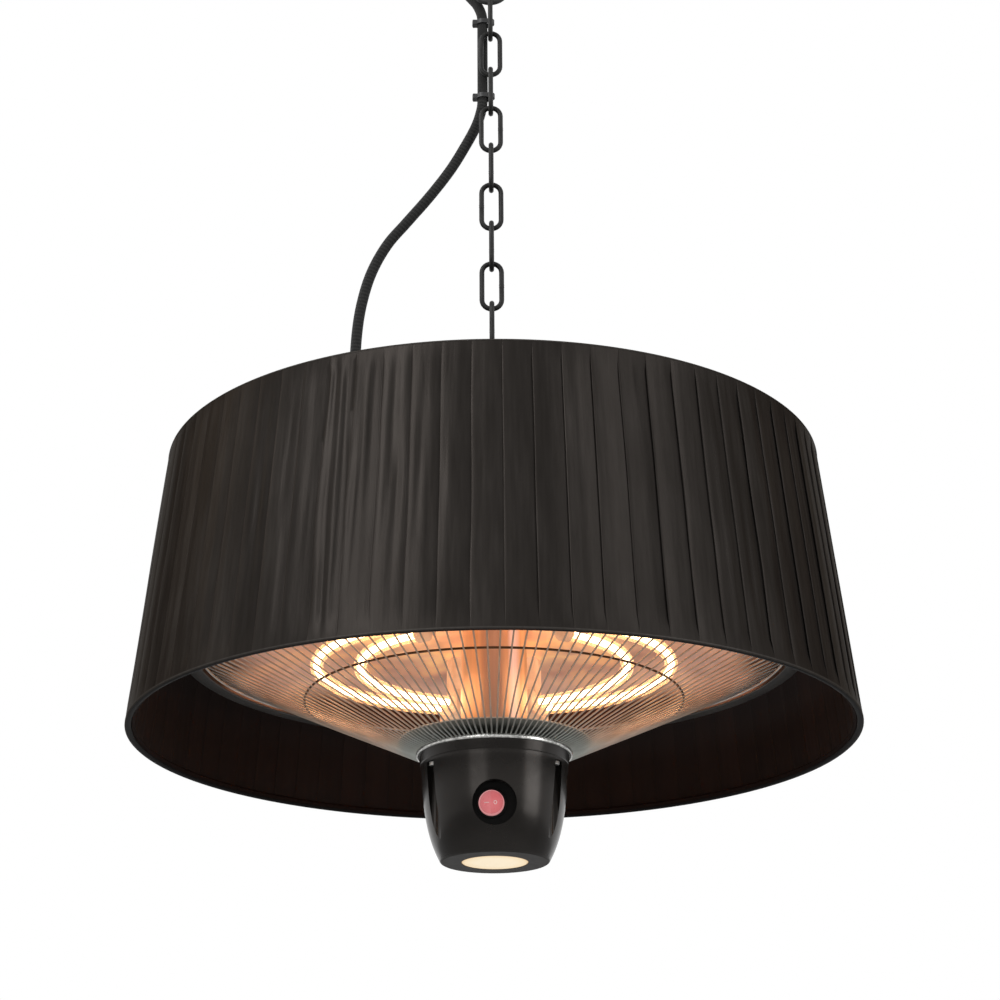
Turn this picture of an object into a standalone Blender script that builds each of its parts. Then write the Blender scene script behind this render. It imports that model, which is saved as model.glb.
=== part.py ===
"""Hanging patio heater: halogen lamps in a wire grille under a pleated fabric shade,
hung by a chain from a ceiling plate, with its mains lead beside the chain.

Lengths are in metres and +Z is up. The origin is the middle of the ceiling plate's top
face, which lies against the ceiling, so the whole heater hangs below zero.
"""

import math

import bmesh
import bpy
from mathutils import Matrix, Vector

# Clearances that many pieces share
GAP = 0.0003
OVERRUN = 0.004
WELD = 0.000001

# Ceiling plate, hook and the gland beside it
PLATE_RADIUS = 0.050
PLATE_THICKNESS = 0.005
PLATE_BOSS_RADIUS = 0.009
PLATE_BOSS_DEPTH = 0.012
PLATE_HOLE_RADIUS = 0.0025
PLATE_HOLE_OFFSET = 0.038
HOOK_WIRE_RADIUS = 0.003
HOOK_BEND_RADIUS = 0.016
HOOK_NECK_RADIUS = 0.008
HOOK_DROP = 0.076
HOOK_THREAD_DEPTH = 0.010
HOOK_NUT_RADIUS = 0.0058
HOOK_NUT_HEIGHT = 0.005
HOOK_TIP_ANGLE = math.radians(160)

# Chain, every other link turned a quarter
LINK_COUNT = 13
LINK_INNER_LENGTH = 0.0403
LINK_WIDTH = 0.022
LINK_WIRE_RADIUS = 0.00225

# Mains lead, its ties and its glands
CABLE_RADIUS = 0.0048
TIE_WALL = 0.0012
TIE_HEIGHT = 0.0045
TIE_HEAD = 0.0032
GLAND_FLANGE_RADIUS = 0.012
GLAND_FLANGE_HEIGHT = 0.006
GLAND_NECK_RADIUS = 0.0075
GLAND_TAPER_LENGTH = 0.040
GLAND_ROOT_RADIUS = 0.0092
GLAND_TIP_RADIUS = 0.0062
GLAND_NUT_RADIUS = 0.0105
GLAND_NUT_HEIGHT = 0.005
CEILING_TAPER_LENGTH = 0.022

# Eye nut, tie rod and the pieces threaded on it
EYE_INNER_RADIUS = 0.011
EYE_WIRE_RADIUS = 0.0035
EYE_COLLAR_RADIUS = 0.011
EYE_COLLAR_HEIGHT = 0.010
EYE_THREAD_DEPTH = 0.009
ROD_RADIUS = 0.005
HUB_RADIUS = 0.018
HUB_THICKNESS = 0.004
SPACER_RADIUS = 0.010
SPACER_LENGTH = 0.0222
CUP_NUT_RADIUS = 0.0092
CUP_NUT_HEIGHT = 0.008

# Hood over the lamps
HOOD_RADIUS = 0.260
HOOD_HEIGHT = 0.0612
HOOD_TOP_RADIUS = 0.158
HOOD_SHEET = 0.0012
HOOD_SHOULDER = 0.020
HOOD_SHOULDER_DROP = 0.0055
HOOD_SKIRT = 0.008
HOOD_LIP_CLEARANCE = 0.0009

# Fabric shade and its frame
SHADE_CLEARANCE = 0.040
SHADE_TAPER = 0.024
SHADE_BOTTOM_RADIUS = HOOD_RADIUS + SHADE_CLEARANCE
SHADE_TOP_RADIUS = SHADE_BOTTOM_RADIUS - SHADE_TAPER
SHADE_HEIGHT = 0.232
SHADE_RISE = 0.0777
PLEAT_COUNT = 78
PLEAT_DEPTH = 0.0014
PLEAT_FLANK_SHARE = 0.12
PLEAT_PHASE_SHARE = 0.83
FABRIC_THICKNESS = 0.0012
LINER_THICKNESS = 0.001
SHADE_WIRE_RADIUS = 0.0022
SHADE_HEM = 0.0012
SPIDER_ARM_COUNT = 3
SPIDER_ARM_WIDTH = 0.012
SPIDER_ARM_THICKNESS = 0.0022
SPIDER_TAB_LENGTH = 0.016
SPIDER_FIRST_ANGLE = math.radians(90)

# Reflector and column
REFLECTOR_SHEET = 0.0008
REFLECTOR_FLANGE = 0.007
REFLECTOR_LIP = 0.0055
REFLECTOR_DEPTH = 0.0357
REFLECTOR_TOP_MARGIN = 0.014
REFLECTOR_TOP_RADIUS = HOOD_TOP_RADIUS + REFLECTOR_TOP_MARGIN
COLUMN_RADIUS = 0.0275
COLUMN_WALL = 0.001
COLUMN_LENGTH = 0.1058

# Halogen lamps and their holders
LAMP_RADIUS = 0.0055
LAMP_INNER_BEND = 0.111
LAMP_OUTER_BEND = 0.127
LAMP_OUTER_SHIFT = 0.020
LAMP_STRAIGHT_END = 0.003
LAMP_DROP = 0.0432
HOLDER_INNER_RADIUS = 0.099
HOLDER_OUTER_RADIUS = 0.150
REAR_HOLDER_ANGLE = math.radians(19)
FRONT_HOLDER_ANGLE = math.radians(32.5)
FRONT_HOLDER_SPREAD = math.radians(5)
HOLDER_HEIGHT = 0.020
HOLDER_POST_INNER = 0.114
HOLDER_POST_OUTER = 0.130

# Wire grille
GRILLE_WIRE_COUNT = 108
GRILLE_WIRE = 0.0018
GRILLE_MARGIN = 0.016
GRILLE_RADIUS = HOOD_RADIUS - GRILLE_MARGIN
GRILLE_RING_WIRE_RADIUS = 0.00175
GRILLE_COLLAR_RADIUS = 0.0643
GRILLE_COLLAR_WIDTH = 0.0045
GRILLE_DEPTH = 0.082
GRILLE_HOOP_RADIUS = 0.156
GRILLE_HOOP_WIRE_RADIUS = 0.00125

# Heat shield and control cup
SHIELD_RADIUS = 0.079
SHIELD_THICKNESS = 0.001
CUP_HUB_RADIUS = 0.014
CUP_HUB_HEIGHT = 0.010
CUP_HEIGHT = 0.0885
CUP_TOP_RADIUS = 0.0625
CUP_BOTTOM_RADIUS = 0.0427
CUP_WALL = 0.0025
CUP_EDGE = 0.0035
CUP_OUTLINE_SHARES = ((0.00, 1.000), (0.13, 0.962), (0.40, 0.935), (0.58, 0.896), (0.78, 0.824), (0.93, 0.739))
CHANNEL_RADIUS = 0.006
CHANNEL_OFFSET = 0.0565
CHANNEL_TOP = 0.012
CHANNEL_WALL = 0.002
CUP_SCREW_COUNT = 3
CUP_SCREW_HEAD_RADIUS = 0.0034
CUP_SCREW_HEAD_HEIGHT = 0.003
CUP_SCREW_RADIUS = 0.0018
CUP_SCREW_END = 0.0035

# Light in the cup's base
LENS_RADIUS = 0.0268
LENS_FLANGE = 0.004
LENS_THICKNESS = 0.002
LENS_RIM_HEIGHT = 0.008
BOARD_THICKNESS = 0.0016

# Rocker switch in the cup's front
SWITCH_DROP = 0.0515
RECESS_RADIUS = 0.0175
RECESS_DEPTH = 0.0055
SWITCH_SHIFT = 0.0025
BEZEL_RADIUS = 0.0122
BEZEL_FLANGE = 0.0022
BEZEL_BARREL_RADIUS = 0.0112
BEZEL_BORE_RADIUS = 0.0105
BEZEL_LENGTH = 0.018
ROCKER_RADIUS = 0.0102
ROCKER_PIVOT_LEAD = 0.0012
ROCKER_FACE = 0.0028
ROCKER_BACK = 0.004
ROCKER_HALF_ANGLE = math.radians(8)

# Wiring parts between the reflector and the hood
TERMINAL_LENGTH = 0.040
TERMINAL_WIDTH = 0.018
TERMINAL_HEIGHT = 0.014
TERMINAL_OFFSET = 0.075
TERMINAL_BEVEL = 0.0015
CUTOUT_RADIUS = 0.008
CUTOUT_HEIGHT = 0.007
CUTOUT_OFFSET = 0.070

# The lead's way along the chain and out to its glands
CABLE_CLEARANCE = 0.00045
CABLE_BEHIND = 0.00345
CABLE_UPRIGHT_END = 0.0015
GLAND_OFFSET = 0.118
CEILING_GLAND_OFFSET = 0.035
CEILING_GLAND_ANGLE = math.radians(147)
# Each point of the lower route: how far out towards the gland, how far behind, how high
LOWER_ROUTE_SHARES = (
    (1.000, 0.000, 0.000),
    (1.002, 0.000, 0.057),
    (1.011, 0.076, 0.148),
    (1.023, 0.190, 0.251),
    (1.025, 0.324, 0.353),
    (1.014, 0.457, 0.445),
    (0.977, 0.590, 0.517),
    (0.905, 0.705, 0.586),
    (0.783, 0.810, 0.650),
    (0.624, 0.895, 0.703),
    (0.439, 0.952, 0.764),
    (0.271, 1.000, 0.826),
    (0.145, 1.030, 0.884),
    (0.054, 1.030, 0.932),
    (0.008, 1.000, 0.973),
    (0.000, 1.000, 1.000),
)
# Each point of the upper route: how high, and how far towards the ceiling's gland
TOP_ROUTE_SHARES = (
    (0.00, 0.000),
    (0.05, 0.000),
    (0.17, 0.040),
    (0.35, 0.227),
    (0.50, 0.500),
    (0.65, 0.773),
    (0.83, 0.960),
    (0.95, 1.000),
    (1.00, 1.000),
)


def clear_scene():
    """Removes every object that the file opened with."""
    for old in list(bpy.data.objects):
        bpy.data.objects.remove(old, do_unlink=True)


def finish(name, colour, roughness, metallic=0.0):
    """A plain Principled material with the finish's colour, roughness and metallic value."""
    material = bpy.data.materials.new(name)
    material.use_nodes = True
    shader = material.node_tree.nodes["Principled BSDF"]
    shader.inputs["Base Color"].default_value = (*colour, 1.0)
    shader.inputs["Roughness"].default_value = roughness
    shader.inputs["Metallic"].default_value = metallic
    return material


def add(name, data, material, parent):
    """Puts a mesh or curve in the scene under its joint's empty."""
    data.materials.append(material)
    piece = bpy.data.objects.new(name, data)
    bpy.context.scene.collection.objects.link(piece)
    if parent is not None:
        piece.parent = parent
        piece.matrix_parent_inverse = Matrix.Translation(-world_of(parent))
    return piece


def world_of(empty):
    """The place of an empty, whose parents are empties without rotation."""
    place = Vector((0, 0, 0))
    while empty is not None:
        place += empty.location
        empty = empty.parent
    return place


def axis_at(name, place, parent=None):
    """An empty on a joint's axis, for the pieces that turn about it."""
    empty = bpy.data.objects.new(name, None)
    bpy.context.scene.collection.objects.link(empty)
    empty.parent = parent
    empty.location = Vector(place) - (world_of(parent) if parent else Vector((0, 0, 0)))
    return empty


def mesh_from(bm, name, smooth_angle=math.radians(35)):
    """Turns a bmesh into a mesh whose faces point outwards."""
    bmesh.ops.remove_doubles(bm, verts=bm.verts, dist=WELD)
    bmesh.ops.recalc_face_normals(bm, faces=bm.faces)
    mesh = bpy.data.meshes.new(name)
    bm.to_mesh(mesh)
    bm.free()
    mesh.shade_smooth()
    mesh.set_sharp_from_angle(angle=smooth_angle)
    return mesh


def turned(name, outline, segments, closed=True):
    """A mesh turned about Z from (radius, height) points. An open outline starts and ends
    on the axis."""
    bm = bmesh.new()
    points = [bm.verts.new((radius, 0, height)) for radius, height in outline]
    pairs = list(zip(points, points[1:]))
    if closed:
        pairs.append((points[-1], points[0]))
    edges = [bm.edges.new(pair) for pair in pairs]
    bmesh.ops.spin(
        bm,
        geom=points + edges,
        cent=(0, 0, 0),
        axis=(0, 0, 1),
        angle=math.tau,
        steps=segments,
        use_merge=True,
    )
    return mesh_from(bm, name)


def ring_outline(inner, outer, bottom, top):
    """The section of a plain ring or washer."""
    return ((outer, top), (outer, bottom), (inner, bottom), (inner, top))


def hexagon_nut(name, bore, corner, bottom, top):
    """A six-sided nut with a round bore."""
    bm = bmesh.new()
    steps = 24
    rows = []
    for step in range(steps):
        angle = math.tau * step / steps
        flat = corner * math.cos(math.pi / 6) / math.cos(angle % (math.pi / 3) - math.pi / 6)
        corners = ((flat, top), (flat, bottom), (bore, bottom), (bore, top))
        rows.append([bm.verts.new((*at_angle(radius, angle), height)) for radius, height in corners])
    for here, there in zip(rows, rows[1:] + rows[:1]):
        for side in range(4):
            bm.faces.new((here[side], here[side - 1], there[side - 1], there[side]))
    return mesh_from(bm, name)


def tube(name, points, radius, cyclic=False, resolution=2):
    """A round bar that follows the points, with filled ends."""
    curve = bpy.data.curves.new(name, "CURVE")
    curve.dimensions = "3D"
    curve.bevel_depth = radius
    curve.bevel_resolution = resolution
    curve.use_fill_caps = True
    spline = curve.splines.new("POLY")
    spline.points.add(len(points) - 1)
    for slot, point in zip(spline.points, points):
        slot.co = (*point, 1.0)
    spline.use_cyclic_u = cyclic
    spline.use_smooth = True
    return curve


def smooth_route(route, spacing):
    """Points at an even spacing along a Catmull-Rom curve through the route's points, which
    leaves and meets its ends upright."""
    points = [Vector(point) for point in route]
    points = [2 * points[0] - points[1], *points, 2 * points[-1] - points[-2]]
    steps = 24
    fine = [points[1]]
    for p0, p1, p2, p3 in zip(points, points[1:], points[2:], points[3:]):
        for step in range(1, steps + 1):
            t = step / steps
            fine.append(
                0.5
                * (
                    2 * p1
                    + (p2 - p0) * t
                    + (2 * p0 - 5 * p1 + 4 * p2 - p3) * t**2
                    + (3 * p1 - p0 - 3 * p2 + p3) * t**3
                )
            )
    lengths = [0]
    for a, b in zip(fine, fine[1:]):
        lengths.append(lengths[-1] + (b - a).length)
    count = max(2, round(lengths[-1] / spacing))
    even = []
    index = 0
    for step in range(count + 1):
        wanted = lengths[-1] * step / count
        while index < len(fine) - 2 and lengths[index + 1] < wanted:
            index += 1
        share = (wanted - lengths[index]) / (lengths[index + 1] - lengths[index])
        even.append(fine[index].lerp(fine[index + 1], min(1, share)))
    rise = Vector((0, 0, CABLE_UPRIGHT_END))
    return [even[0], even[0] + rise, *even[1:-1], even[-1] - rise, even[-1]]


def arc(centre, radius, start, end, steps, plane="XZ"):
    """Points of an arc in a vertical or level plane, both ends included."""
    points = []
    for step in range(steps + 1):
        angle = start + (end - start) * step / steps
        across = radius * math.cos(angle)
        along = radius * math.sin(angle)
        shift = (across, 0, along) if plane == "XZ" else (across, along, 0)
        points.append(Vector(centre) + Vector(shift))
    return points


def cutter(name, mesh):
    """A hidden tool for Boolean cuts and joins."""
    tool = bpy.data.objects.new(name, mesh)
    bpy.context.scene.collection.objects.link(tool)
    tool.hide_render = True
    tool.display_type = "WIRE"
    return tool


def boolean(target, tool, operation="DIFFERENCE"):
    """Cuts or joins with the EXACT solver."""
    modifier = target.modifiers.new(f"{operation.lower()}_{tool.name}", "BOOLEAN")
    modifier.operation = operation
    modifier.solver = "EXACT"
    modifier.object = tool
    return modifier


def upright_bar(name, radius, bottom, top, segments, offset=(0, 0)):
    """A plain cylinder mesh standing at an offset from the axis."""
    mesh = turned(name, ((0, top), (radius, top), (radius, bottom), (0, bottom)), segments, closed=False)
    mesh.transform(Matrix.Translation((offset[0], offset[1], 0)))
    return mesh


def at_angle(radius, angle):
    """A place on a circle about the heater's axis."""
    return (radius * math.cos(angle), radius * math.sin(angle))


clear_scene()

BLACK_STEEL = finish("black_steel", (0.016, 0.016, 0.017), 0.42, 0.55)
BLACK_RUBBER = finish("black_braid", (0.018, 0.018, 0.019), 0.78)
BLACK_PLASTIC = finish("black_plastic", (0.013, 0.013, 0.014), 0.24)
SATIN_FABRIC = finish("charcoal_fabric", (0.036, 0.031, 0.028), 0.62)
LINER_FABRIC = finish("brown_liner", (0.028, 0.014, 0.010), 0.80)
GREY_PAINT = finish("grey_painted_steel", (0.040, 0.040, 0.038), 0.50, 0.20)
ZINC = finish("zinc_plated_steel", (0.55, 0.55, 0.54), 0.38, 1.0)
POLISHED = finish("polished_aluminium", (0.86, 0.84, 0.80), 0.12, 1.0)
GRILLE_STEEL = finish("bright_grille_wire", (0.62, 0.58, 0.54), 0.25, 1.0)
QUARTZ = finish("glowing_quartz", (1.00, 0.62, 0.25), 0.10)
CERAMIC = finish("white_ceramic", (0.78, 0.75, 0.68), 0.55)
SHIELD_METAL = finish("dark_heat_shield", (0.10, 0.09, 0.08), 0.45, 0.80)
OPAL = finish("opal_lens", (0.95, 0.87, 0.68), 0.40)
BOARD_GREEN = finish("board_green", (0.03, 0.14, 0.07), 0.50)
RED_PLASTIC = finish("red_rocker", (0.45, 0.05, 0.05), 0.28)

# Heights of the hanging pieces, worked down from the ceiling
HOOK_WIRE_Z = -HOOK_DROP - HOOK_WIRE_RADIUS
LINK_SPACING = LINK_INNER_LENGTH - GAP
FIRST_LINK_Z = -HOOK_DROP + GAP - LINK_INNER_LENGTH / 2
LINK_PIVOT_Z = FIRST_LINK_Z - LINK_INNER_LENGTH / 2 - LINK_WIRE_RADIUS
LAST_LINK_Z = FIRST_LINK_Z - (LINK_COUNT - 1) * LINK_SPACING
HEATER_PIVOT_Z = LAST_LINK_Z - LINK_INNER_LENGTH / 2 - LINK_WIRE_RADIUS
EYE_Z = LAST_LINK_Z - LINK_INNER_LENGTH / 2 + GAP - EYE_INNER_RADIUS
EYE_BOTTOM_Z = EYE_Z - EYE_INNER_RADIUS - 2 * EYE_WIRE_RADIUS - EYE_COLLAR_HEIGHT
HUB_TOP_Z = EYE_BOTTOM_Z - GAP
SPACER_TOP_Z = HUB_TOP_Z - HUB_THICKNESS - GAP
HOOD_TOP_Z = SPACER_TOP_Z - SPACER_LENGTH - GAP
HOOD_RIM_Z = HOOD_TOP_Z - HOOD_HEIGHT
FLANGE_Z = HOOD_RIM_Z + HOOD_SHEET + GAP
REFLECTOR_Z = FLANGE_Z + REFLECTOR_DEPTH
COLUMN_TOP_Z = REFLECTOR_Z - GAP
SHIELD_TOP_Z = COLUMN_TOP_Z - COLUMN_LENGTH - GAP
CUP_HUB_Z = SHIELD_TOP_Z - SHIELD_THICKNESS - GAP
CUP_TOP_Z = CUP_HUB_Z - CUP_HUB_HEIGHT
CUP_BOTTOM_Z = CUP_TOP_Z - CUP_HEIGHT
COLLAR_Z = CUP_TOP_Z + GAP + GRILLE_WIRE / 2
GRILLE_RING_Z = COLLAR_Z + GRILLE_DEPTH
SHADE_TOP_Z = HUB_TOP_Z + SHADE_RISE
SHADE_BOTTOM_Z = SHADE_TOP_Z - SHADE_HEIGHT

# The lead stands beside the chain, behind it and to the left
CABLE_X = -(CABLE_RADIUS + LINK_WIRE_RADIUS + CABLE_CLEARANCE)
CABLE_Y = CABLE_RADIUS + LINK_WIRE_RADIUS + CABLE_BEHIND
UPPER_TIE_Z = FIRST_LINK_Z
LOWER_TIE_Z = FIRST_LINK_Z - 2 * LINK_SPACING
GLAND_TIP_Z = HOOD_TOP_Z + 2 * GAP + GLAND_FLANGE_HEIGHT + GLAND_TAPER_LENGTH
CEILING_TIP_Z = -PLATE_THICKNESS - 2 * GAP - GLAND_FLANGE_HEIGHT - CEILING_TAPER_LENGTH
CEILING_GLAND_X = CEILING_GLAND_OFFSET * math.cos(CEILING_GLAND_ANGLE)
CEILING_GLAND_Y = CEILING_GLAND_OFFSET * math.sin(CEILING_GLAND_ANGLE)

# Joint axes: the hook's bend, the first link's lower bend and the last link's lower bend
link_axis = axis_at("upper_link_axis", (0, 0, HOOK_WIRE_Z))
chain_axis = axis_at("chain_axis", (0, 0, LINK_PIVOT_Z), link_axis)
heater_axis = axis_at("heater_axis", (0, 0, HEATER_PIVOT_Z), chain_axis)


def gland_outline(taper, reach):
    """Section of a gland that points along +Z: flange on the sheet at zero, tapered relief
    above it, and a neck that reaches back through the sheet to its nut."""
    tip = GAP + GLAND_FLANGE_HEIGHT + taper
    return (
        (0, tip),
        (GLAND_TIP_RADIUS, tip),
        (GLAND_ROOT_RADIUS, GAP + GLAND_FLANGE_HEIGHT),
        (GLAND_FLANGE_RADIUS, GAP + GLAND_FLANGE_HEIGHT),
        (GLAND_FLANGE_RADIUS, GAP),
        (GLAND_NECK_RADIUS, GAP),
        (GLAND_NECK_RADIUS, -reach),
        (0, -reach),
    )


def ceiling_plate():
    """The round plate, its boss for the hook, two screw holes and the gland's hole."""
    underside = -PLATE_THICKNESS
    boss_end = underside - PLATE_BOSS_DEPTH
    outline = (
        (0, 0),
        (PLATE_RADIUS, 0),
        (PLATE_RADIUS, underside),
        (PLATE_BOSS_RADIUS, underside),
        (PLATE_BOSS_RADIUS, boss_end),
        (HOOK_WIRE_RADIUS + GAP, boss_end),
        (HOOK_WIRE_RADIUS + GAP, boss_end + HOOK_THREAD_DEPTH + GAP),
        (0, boss_end + HOOK_THREAD_DEPTH + GAP),
    )
    plate = add("ceiling_plate", turned("ceiling_plate", outline, 48, closed=False), BLACK_STEEL, None)
    for side in (-1, 1):
        hole = upright_bar(
            f"plate_hole_{side}",
            PLATE_HOLE_RADIUS,
            underside - OVERRUN,
            OVERRUN,
            16,
            (0, side * PLATE_HOLE_OFFSET),
        )
        boolean(plate, cutter(f"plate_hole_{side}", hole))
    hole = upright_bar(
        "plate_gland_hole",
        GLAND_NECK_RADIUS + GAP,
        underside - OVERRUN,
        OVERRUN,
        24,
        (CEILING_GLAND_X, CEILING_GLAND_Y),
    )
    boolean(plate, cutter("plate_gland_hole", hole))


def ceiling_hook():
    """A bent hook: threaded shank, a neck bend and a round bend with an open mouth."""
    centre_z = HOOK_WIRE_Z + HOOK_BEND_RADIUS
    reach = HOOK_BEND_RADIUS + HOOK_NECK_RADIUS
    neck_z = centre_z + math.sqrt(reach**2 - HOOK_NECK_RADIUS**2)
    turn = math.atan2(neck_z - centre_z, HOOK_NECK_RADIUS)
    shank_top = -PLATE_THICKNESS - PLATE_BOSS_DEPTH + HOOK_THREAD_DEPTH
    points = [Vector((0, 0, shank_top))]
    points += arc((HOOK_NECK_RADIUS, 0, neck_z), HOOK_NECK_RADIUS, math.pi, math.pi + turn, 5)
    points += arc((0, 0, centre_z), HOOK_BEND_RADIUS, turn, HOOK_TIP_ANGLE - math.tau, 18)[1:]
    add("ceiling_hook", tube("ceiling_hook", points, HOOK_WIRE_RADIUS), BLACK_STEEL, None)
    nut_top = -PLATE_THICKNESS - PLATE_BOSS_DEPTH - GAP
    nut = hexagon_nut("hook_nut", HOOK_WIRE_RADIUS + GAP, HOOK_NUT_RADIUS, nut_top - HOOK_NUT_HEIGHT, nut_top)
    add("hook_nut", nut, ZINC, None)


def ceiling_gland():
    """The gland where the lead goes up into the ceiling."""
    mesh = turned("ceiling_gland", gland_outline(CEILING_TAPER_LENGTH, PLATE_THICKNESS - GAP), 24, closed=False)
    mesh.transform(Matrix.Rotation(math.pi, 4, "X"))
    gland = add("ceiling_gland", mesh, BLACK_PLASTIC, None)
    gland.location = (CEILING_GLAND_X, CEILING_GLAND_Y, -PLATE_THICKNESS)


def link_points():
    """The racetrack that a link's wire follows, about its own middle in the XZ plane."""
    bend = LINK_WIDTH / 2 - LINK_WIRE_RADIUS
    reach = LINK_INNER_LENGTH / 2 + LINK_WIRE_RADIUS - bend
    upper = arc((0, 0, reach), bend, 0, math.pi, 6)
    lower = arc((0, 0, -reach), bend, math.pi, math.tau, 6)
    return upper + lower


def chain():
    """The links, each its own piece. Odd links stand edge-on to the front."""
    for number in range(1, LINK_COUNT + 1):
        name = f"chain_link_{number:02d}"
        parent = link_axis if number == 1 else chain_axis
        link = add(name, tube(name, link_points(), LINK_WIRE_RADIUS, cyclic=True, resolution=1), BLACK_STEEL, parent)
        link.location = (0, 0, FIRST_LINK_Z - (number - 1) * LINK_SPACING)
        if number % 2:
            link.rotation_euler = (0, 0, math.pi / 2)


def lower_route():
    """From the gland on the hood, in an S, to the lower tie."""
    low, high = GLAND_TIP_Z, LOWER_TIE_Z - GAP / 2
    return [
        (CABLE_X - (GLAND_OFFSET + CABLE_X) * out, CABLE_Y * behind, low + (high - low) * up)
        for out, behind, up in LOWER_ROUTE_SHARES
    ]


def middle_route():
    """Straight up beside the chain, from the lower tie to the upper one."""
    low, high = LOWER_TIE_Z + GAP / 2, UPPER_TIE_Z - GAP / 2
    return [(CABLE_X, CABLE_Y, low), (CABLE_X, CABLE_Y, (low + high) / 2), (CABLE_X, CABLE_Y, high)]


def top_route():
    """From the upper tie, in a shallow S, to the gland in the ceiling plate."""
    low, high = UPPER_TIE_Z + GAP / 2, CEILING_TIP_Z
    return [
        (
            CABLE_X + (CEILING_GLAND_X - CABLE_X) * out,
            CABLE_Y + (CEILING_GLAND_Y - CABLE_Y) * out,
            low + (high - low) * up,
        )
        for up, out in TOP_ROUTE_SHARES
    ]


def lead():
    """The lead's three stretches between its glands and the two ties on the chain."""
    spacing = 5 * CABLE_RADIUS
    stretches = (
        ("power_cable_top", top_route(), None, spacing / 2),
        ("power_cable_middle", middle_route(), link_axis, spacing / 2),
        ("power_cable_lower", lower_route(), chain_axis, spacing * 2 / 3),
    )
    for name, route, parent, step in stretches:
        add(name, tube(name, smooth_route(route, step), CABLE_RADIUS), BLACK_RUBBER, parent)


def cable_tie(name, height, parent):
    """A tie drawn round the lead and the rear leg of an edge-on link, with its head."""
    cable = (Vector((CABLE_X, CABLE_Y)), CABLE_RADIUS + GAP)
    leg = (Vector((0, LINK_WIDTH / 2 - LINK_WIRE_RADIUS)), LINK_WIRE_RADIUS + GAP)
    bm = bmesh.new()
    rows = []
    count = 32
    for step in range(count):
        angle = math.tau * step / count
        out = Vector((math.cos(angle), math.sin(angle)))
        centre, radius = max((cable, leg), key=lambda c: c[0].dot(out) + c[1])
        wall = TIE_WALL + (TIE_HEAD if count * 7 // 16 <= step <= count * 9 // 16 else 0)
        inner = centre + radius * out
        outer = centre + (radius + wall) * out
        low, high = height - TIE_HEIGHT / 2, height + TIE_HEIGHT / 2
        rows.append([bm.verts.new((*p, z)) for p, z in ((inner, low), (outer, low), (outer, high), (inner, high))])
    for here, there in zip(rows, rows[1:] + rows[:1]):
        for side in range(4):
            bm.faces.new((here[side], here[side - 1], there[side - 1], there[side]))
    add(name, mesh_from(bm, name), BLACK_PLASTIC, parent)


def eye_nut():
    """The lifting eye: a ring on a threaded collar."""
    ring_z = EYE_Z
    points = arc((0, 0, ring_z), EYE_INNER_RADIUS + EYE_WIRE_RADIUS, 0, math.tau, 24)[:-1]
    ring = bpy.data.objects.new("eye_ring", tube("eye_ring", points, EYE_WIRE_RADIUS, cyclic=True))
    bpy.context.scene.collection.objects.link(ring)
    bpy.context.view_layer.update()
    ring_mesh = bpy.data.meshes.new_from_object(ring.evaluated_get(bpy.context.evaluated_depsgraph_get()))
    bpy.data.objects.remove(ring, do_unlink=True)
    collar_top = EYE_BOTTOM_Z + EYE_COLLAR_HEIGHT + EYE_WIRE_RADIUS
    outline = (
        (0, collar_top),
        (EYE_WIRE_RADIUS * 2, collar_top),
        (EYE_COLLAR_RADIUS, EYE_BOTTOM_Z + EYE_COLLAR_HEIGHT * 0.7),
        (EYE_COLLAR_RADIUS, EYE_BOTTOM_Z),
        (ROD_RADIUS + GAP, EYE_BOTTOM_Z),
        (ROD_RADIUS + GAP, EYE_BOTTOM_Z + EYE_THREAD_DEPTH + GAP),
        (0, EYE_BOTTOM_Z + EYE_THREAD_DEPTH + GAP),
    )
    nut = add("eye_nut", turned("eye_nut", outline, 24, closed=False), BLACK_STEEL, heater_axis)
    boolean(nut, cutter("eye_ring_tool", ring_mesh), "UNION")


def rod_and_spacers():
    """The tie rod that clamps the whole stack between the eye nut and the cup's nut."""
    nut_top = CUP_TOP_Z - CUP_WALL - GAP
    nut_bottom = nut_top - CUP_NUT_HEIGHT
    top = EYE_BOTTOM_Z + EYE_THREAD_DEPTH
    bar = upright_bar("tie_rod", ROD_RADIUS, nut_bottom - ROD_RADIUS / 2, top, 16)
    add("tie_rod", bar, ZINC, heater_axis)
    bore = ROD_RADIUS + GAP
    outline = ring_outline(bore, SPACER_RADIUS, SPACER_TOP_Z - SPACER_LENGTH, SPACER_TOP_Z)
    add("outer_spacer", turned("outer_spacer", outline, 24), BLACK_STEEL, heater_axis)
    low = REFLECTOR_Z + REFLECTOR_SHEET + GAP
    high = HOOD_TOP_Z - HOOD_SHEET - GAP
    outline = ring_outline(bore, SPACER_RADIUS, low, high)
    add("inner_spacer", turned("inner_spacer", outline, 24), ZINC, heater_axis)
    nut = hexagon_nut("cup_nut", bore, CUP_NUT_RADIUS, nut_bottom, nut_top)
    add("cup_nut", nut, ZINC, heater_axis)


def shade_radius(height):
    """The shade's outer radius at a height above its lower edge."""
    return SHADE_BOTTOM_RADIUS + (SHADE_TOP_RADIUS - SHADE_BOTTOM_RADIUS) * height / SHADE_HEIGHT


def liner_outer(height):
    """The radius just inside the pleated fabric, where the wires and the liner lie."""
    return shade_radius(height) - PLEAT_DEPTH - FABRIC_THICKNESS - GAP


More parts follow.
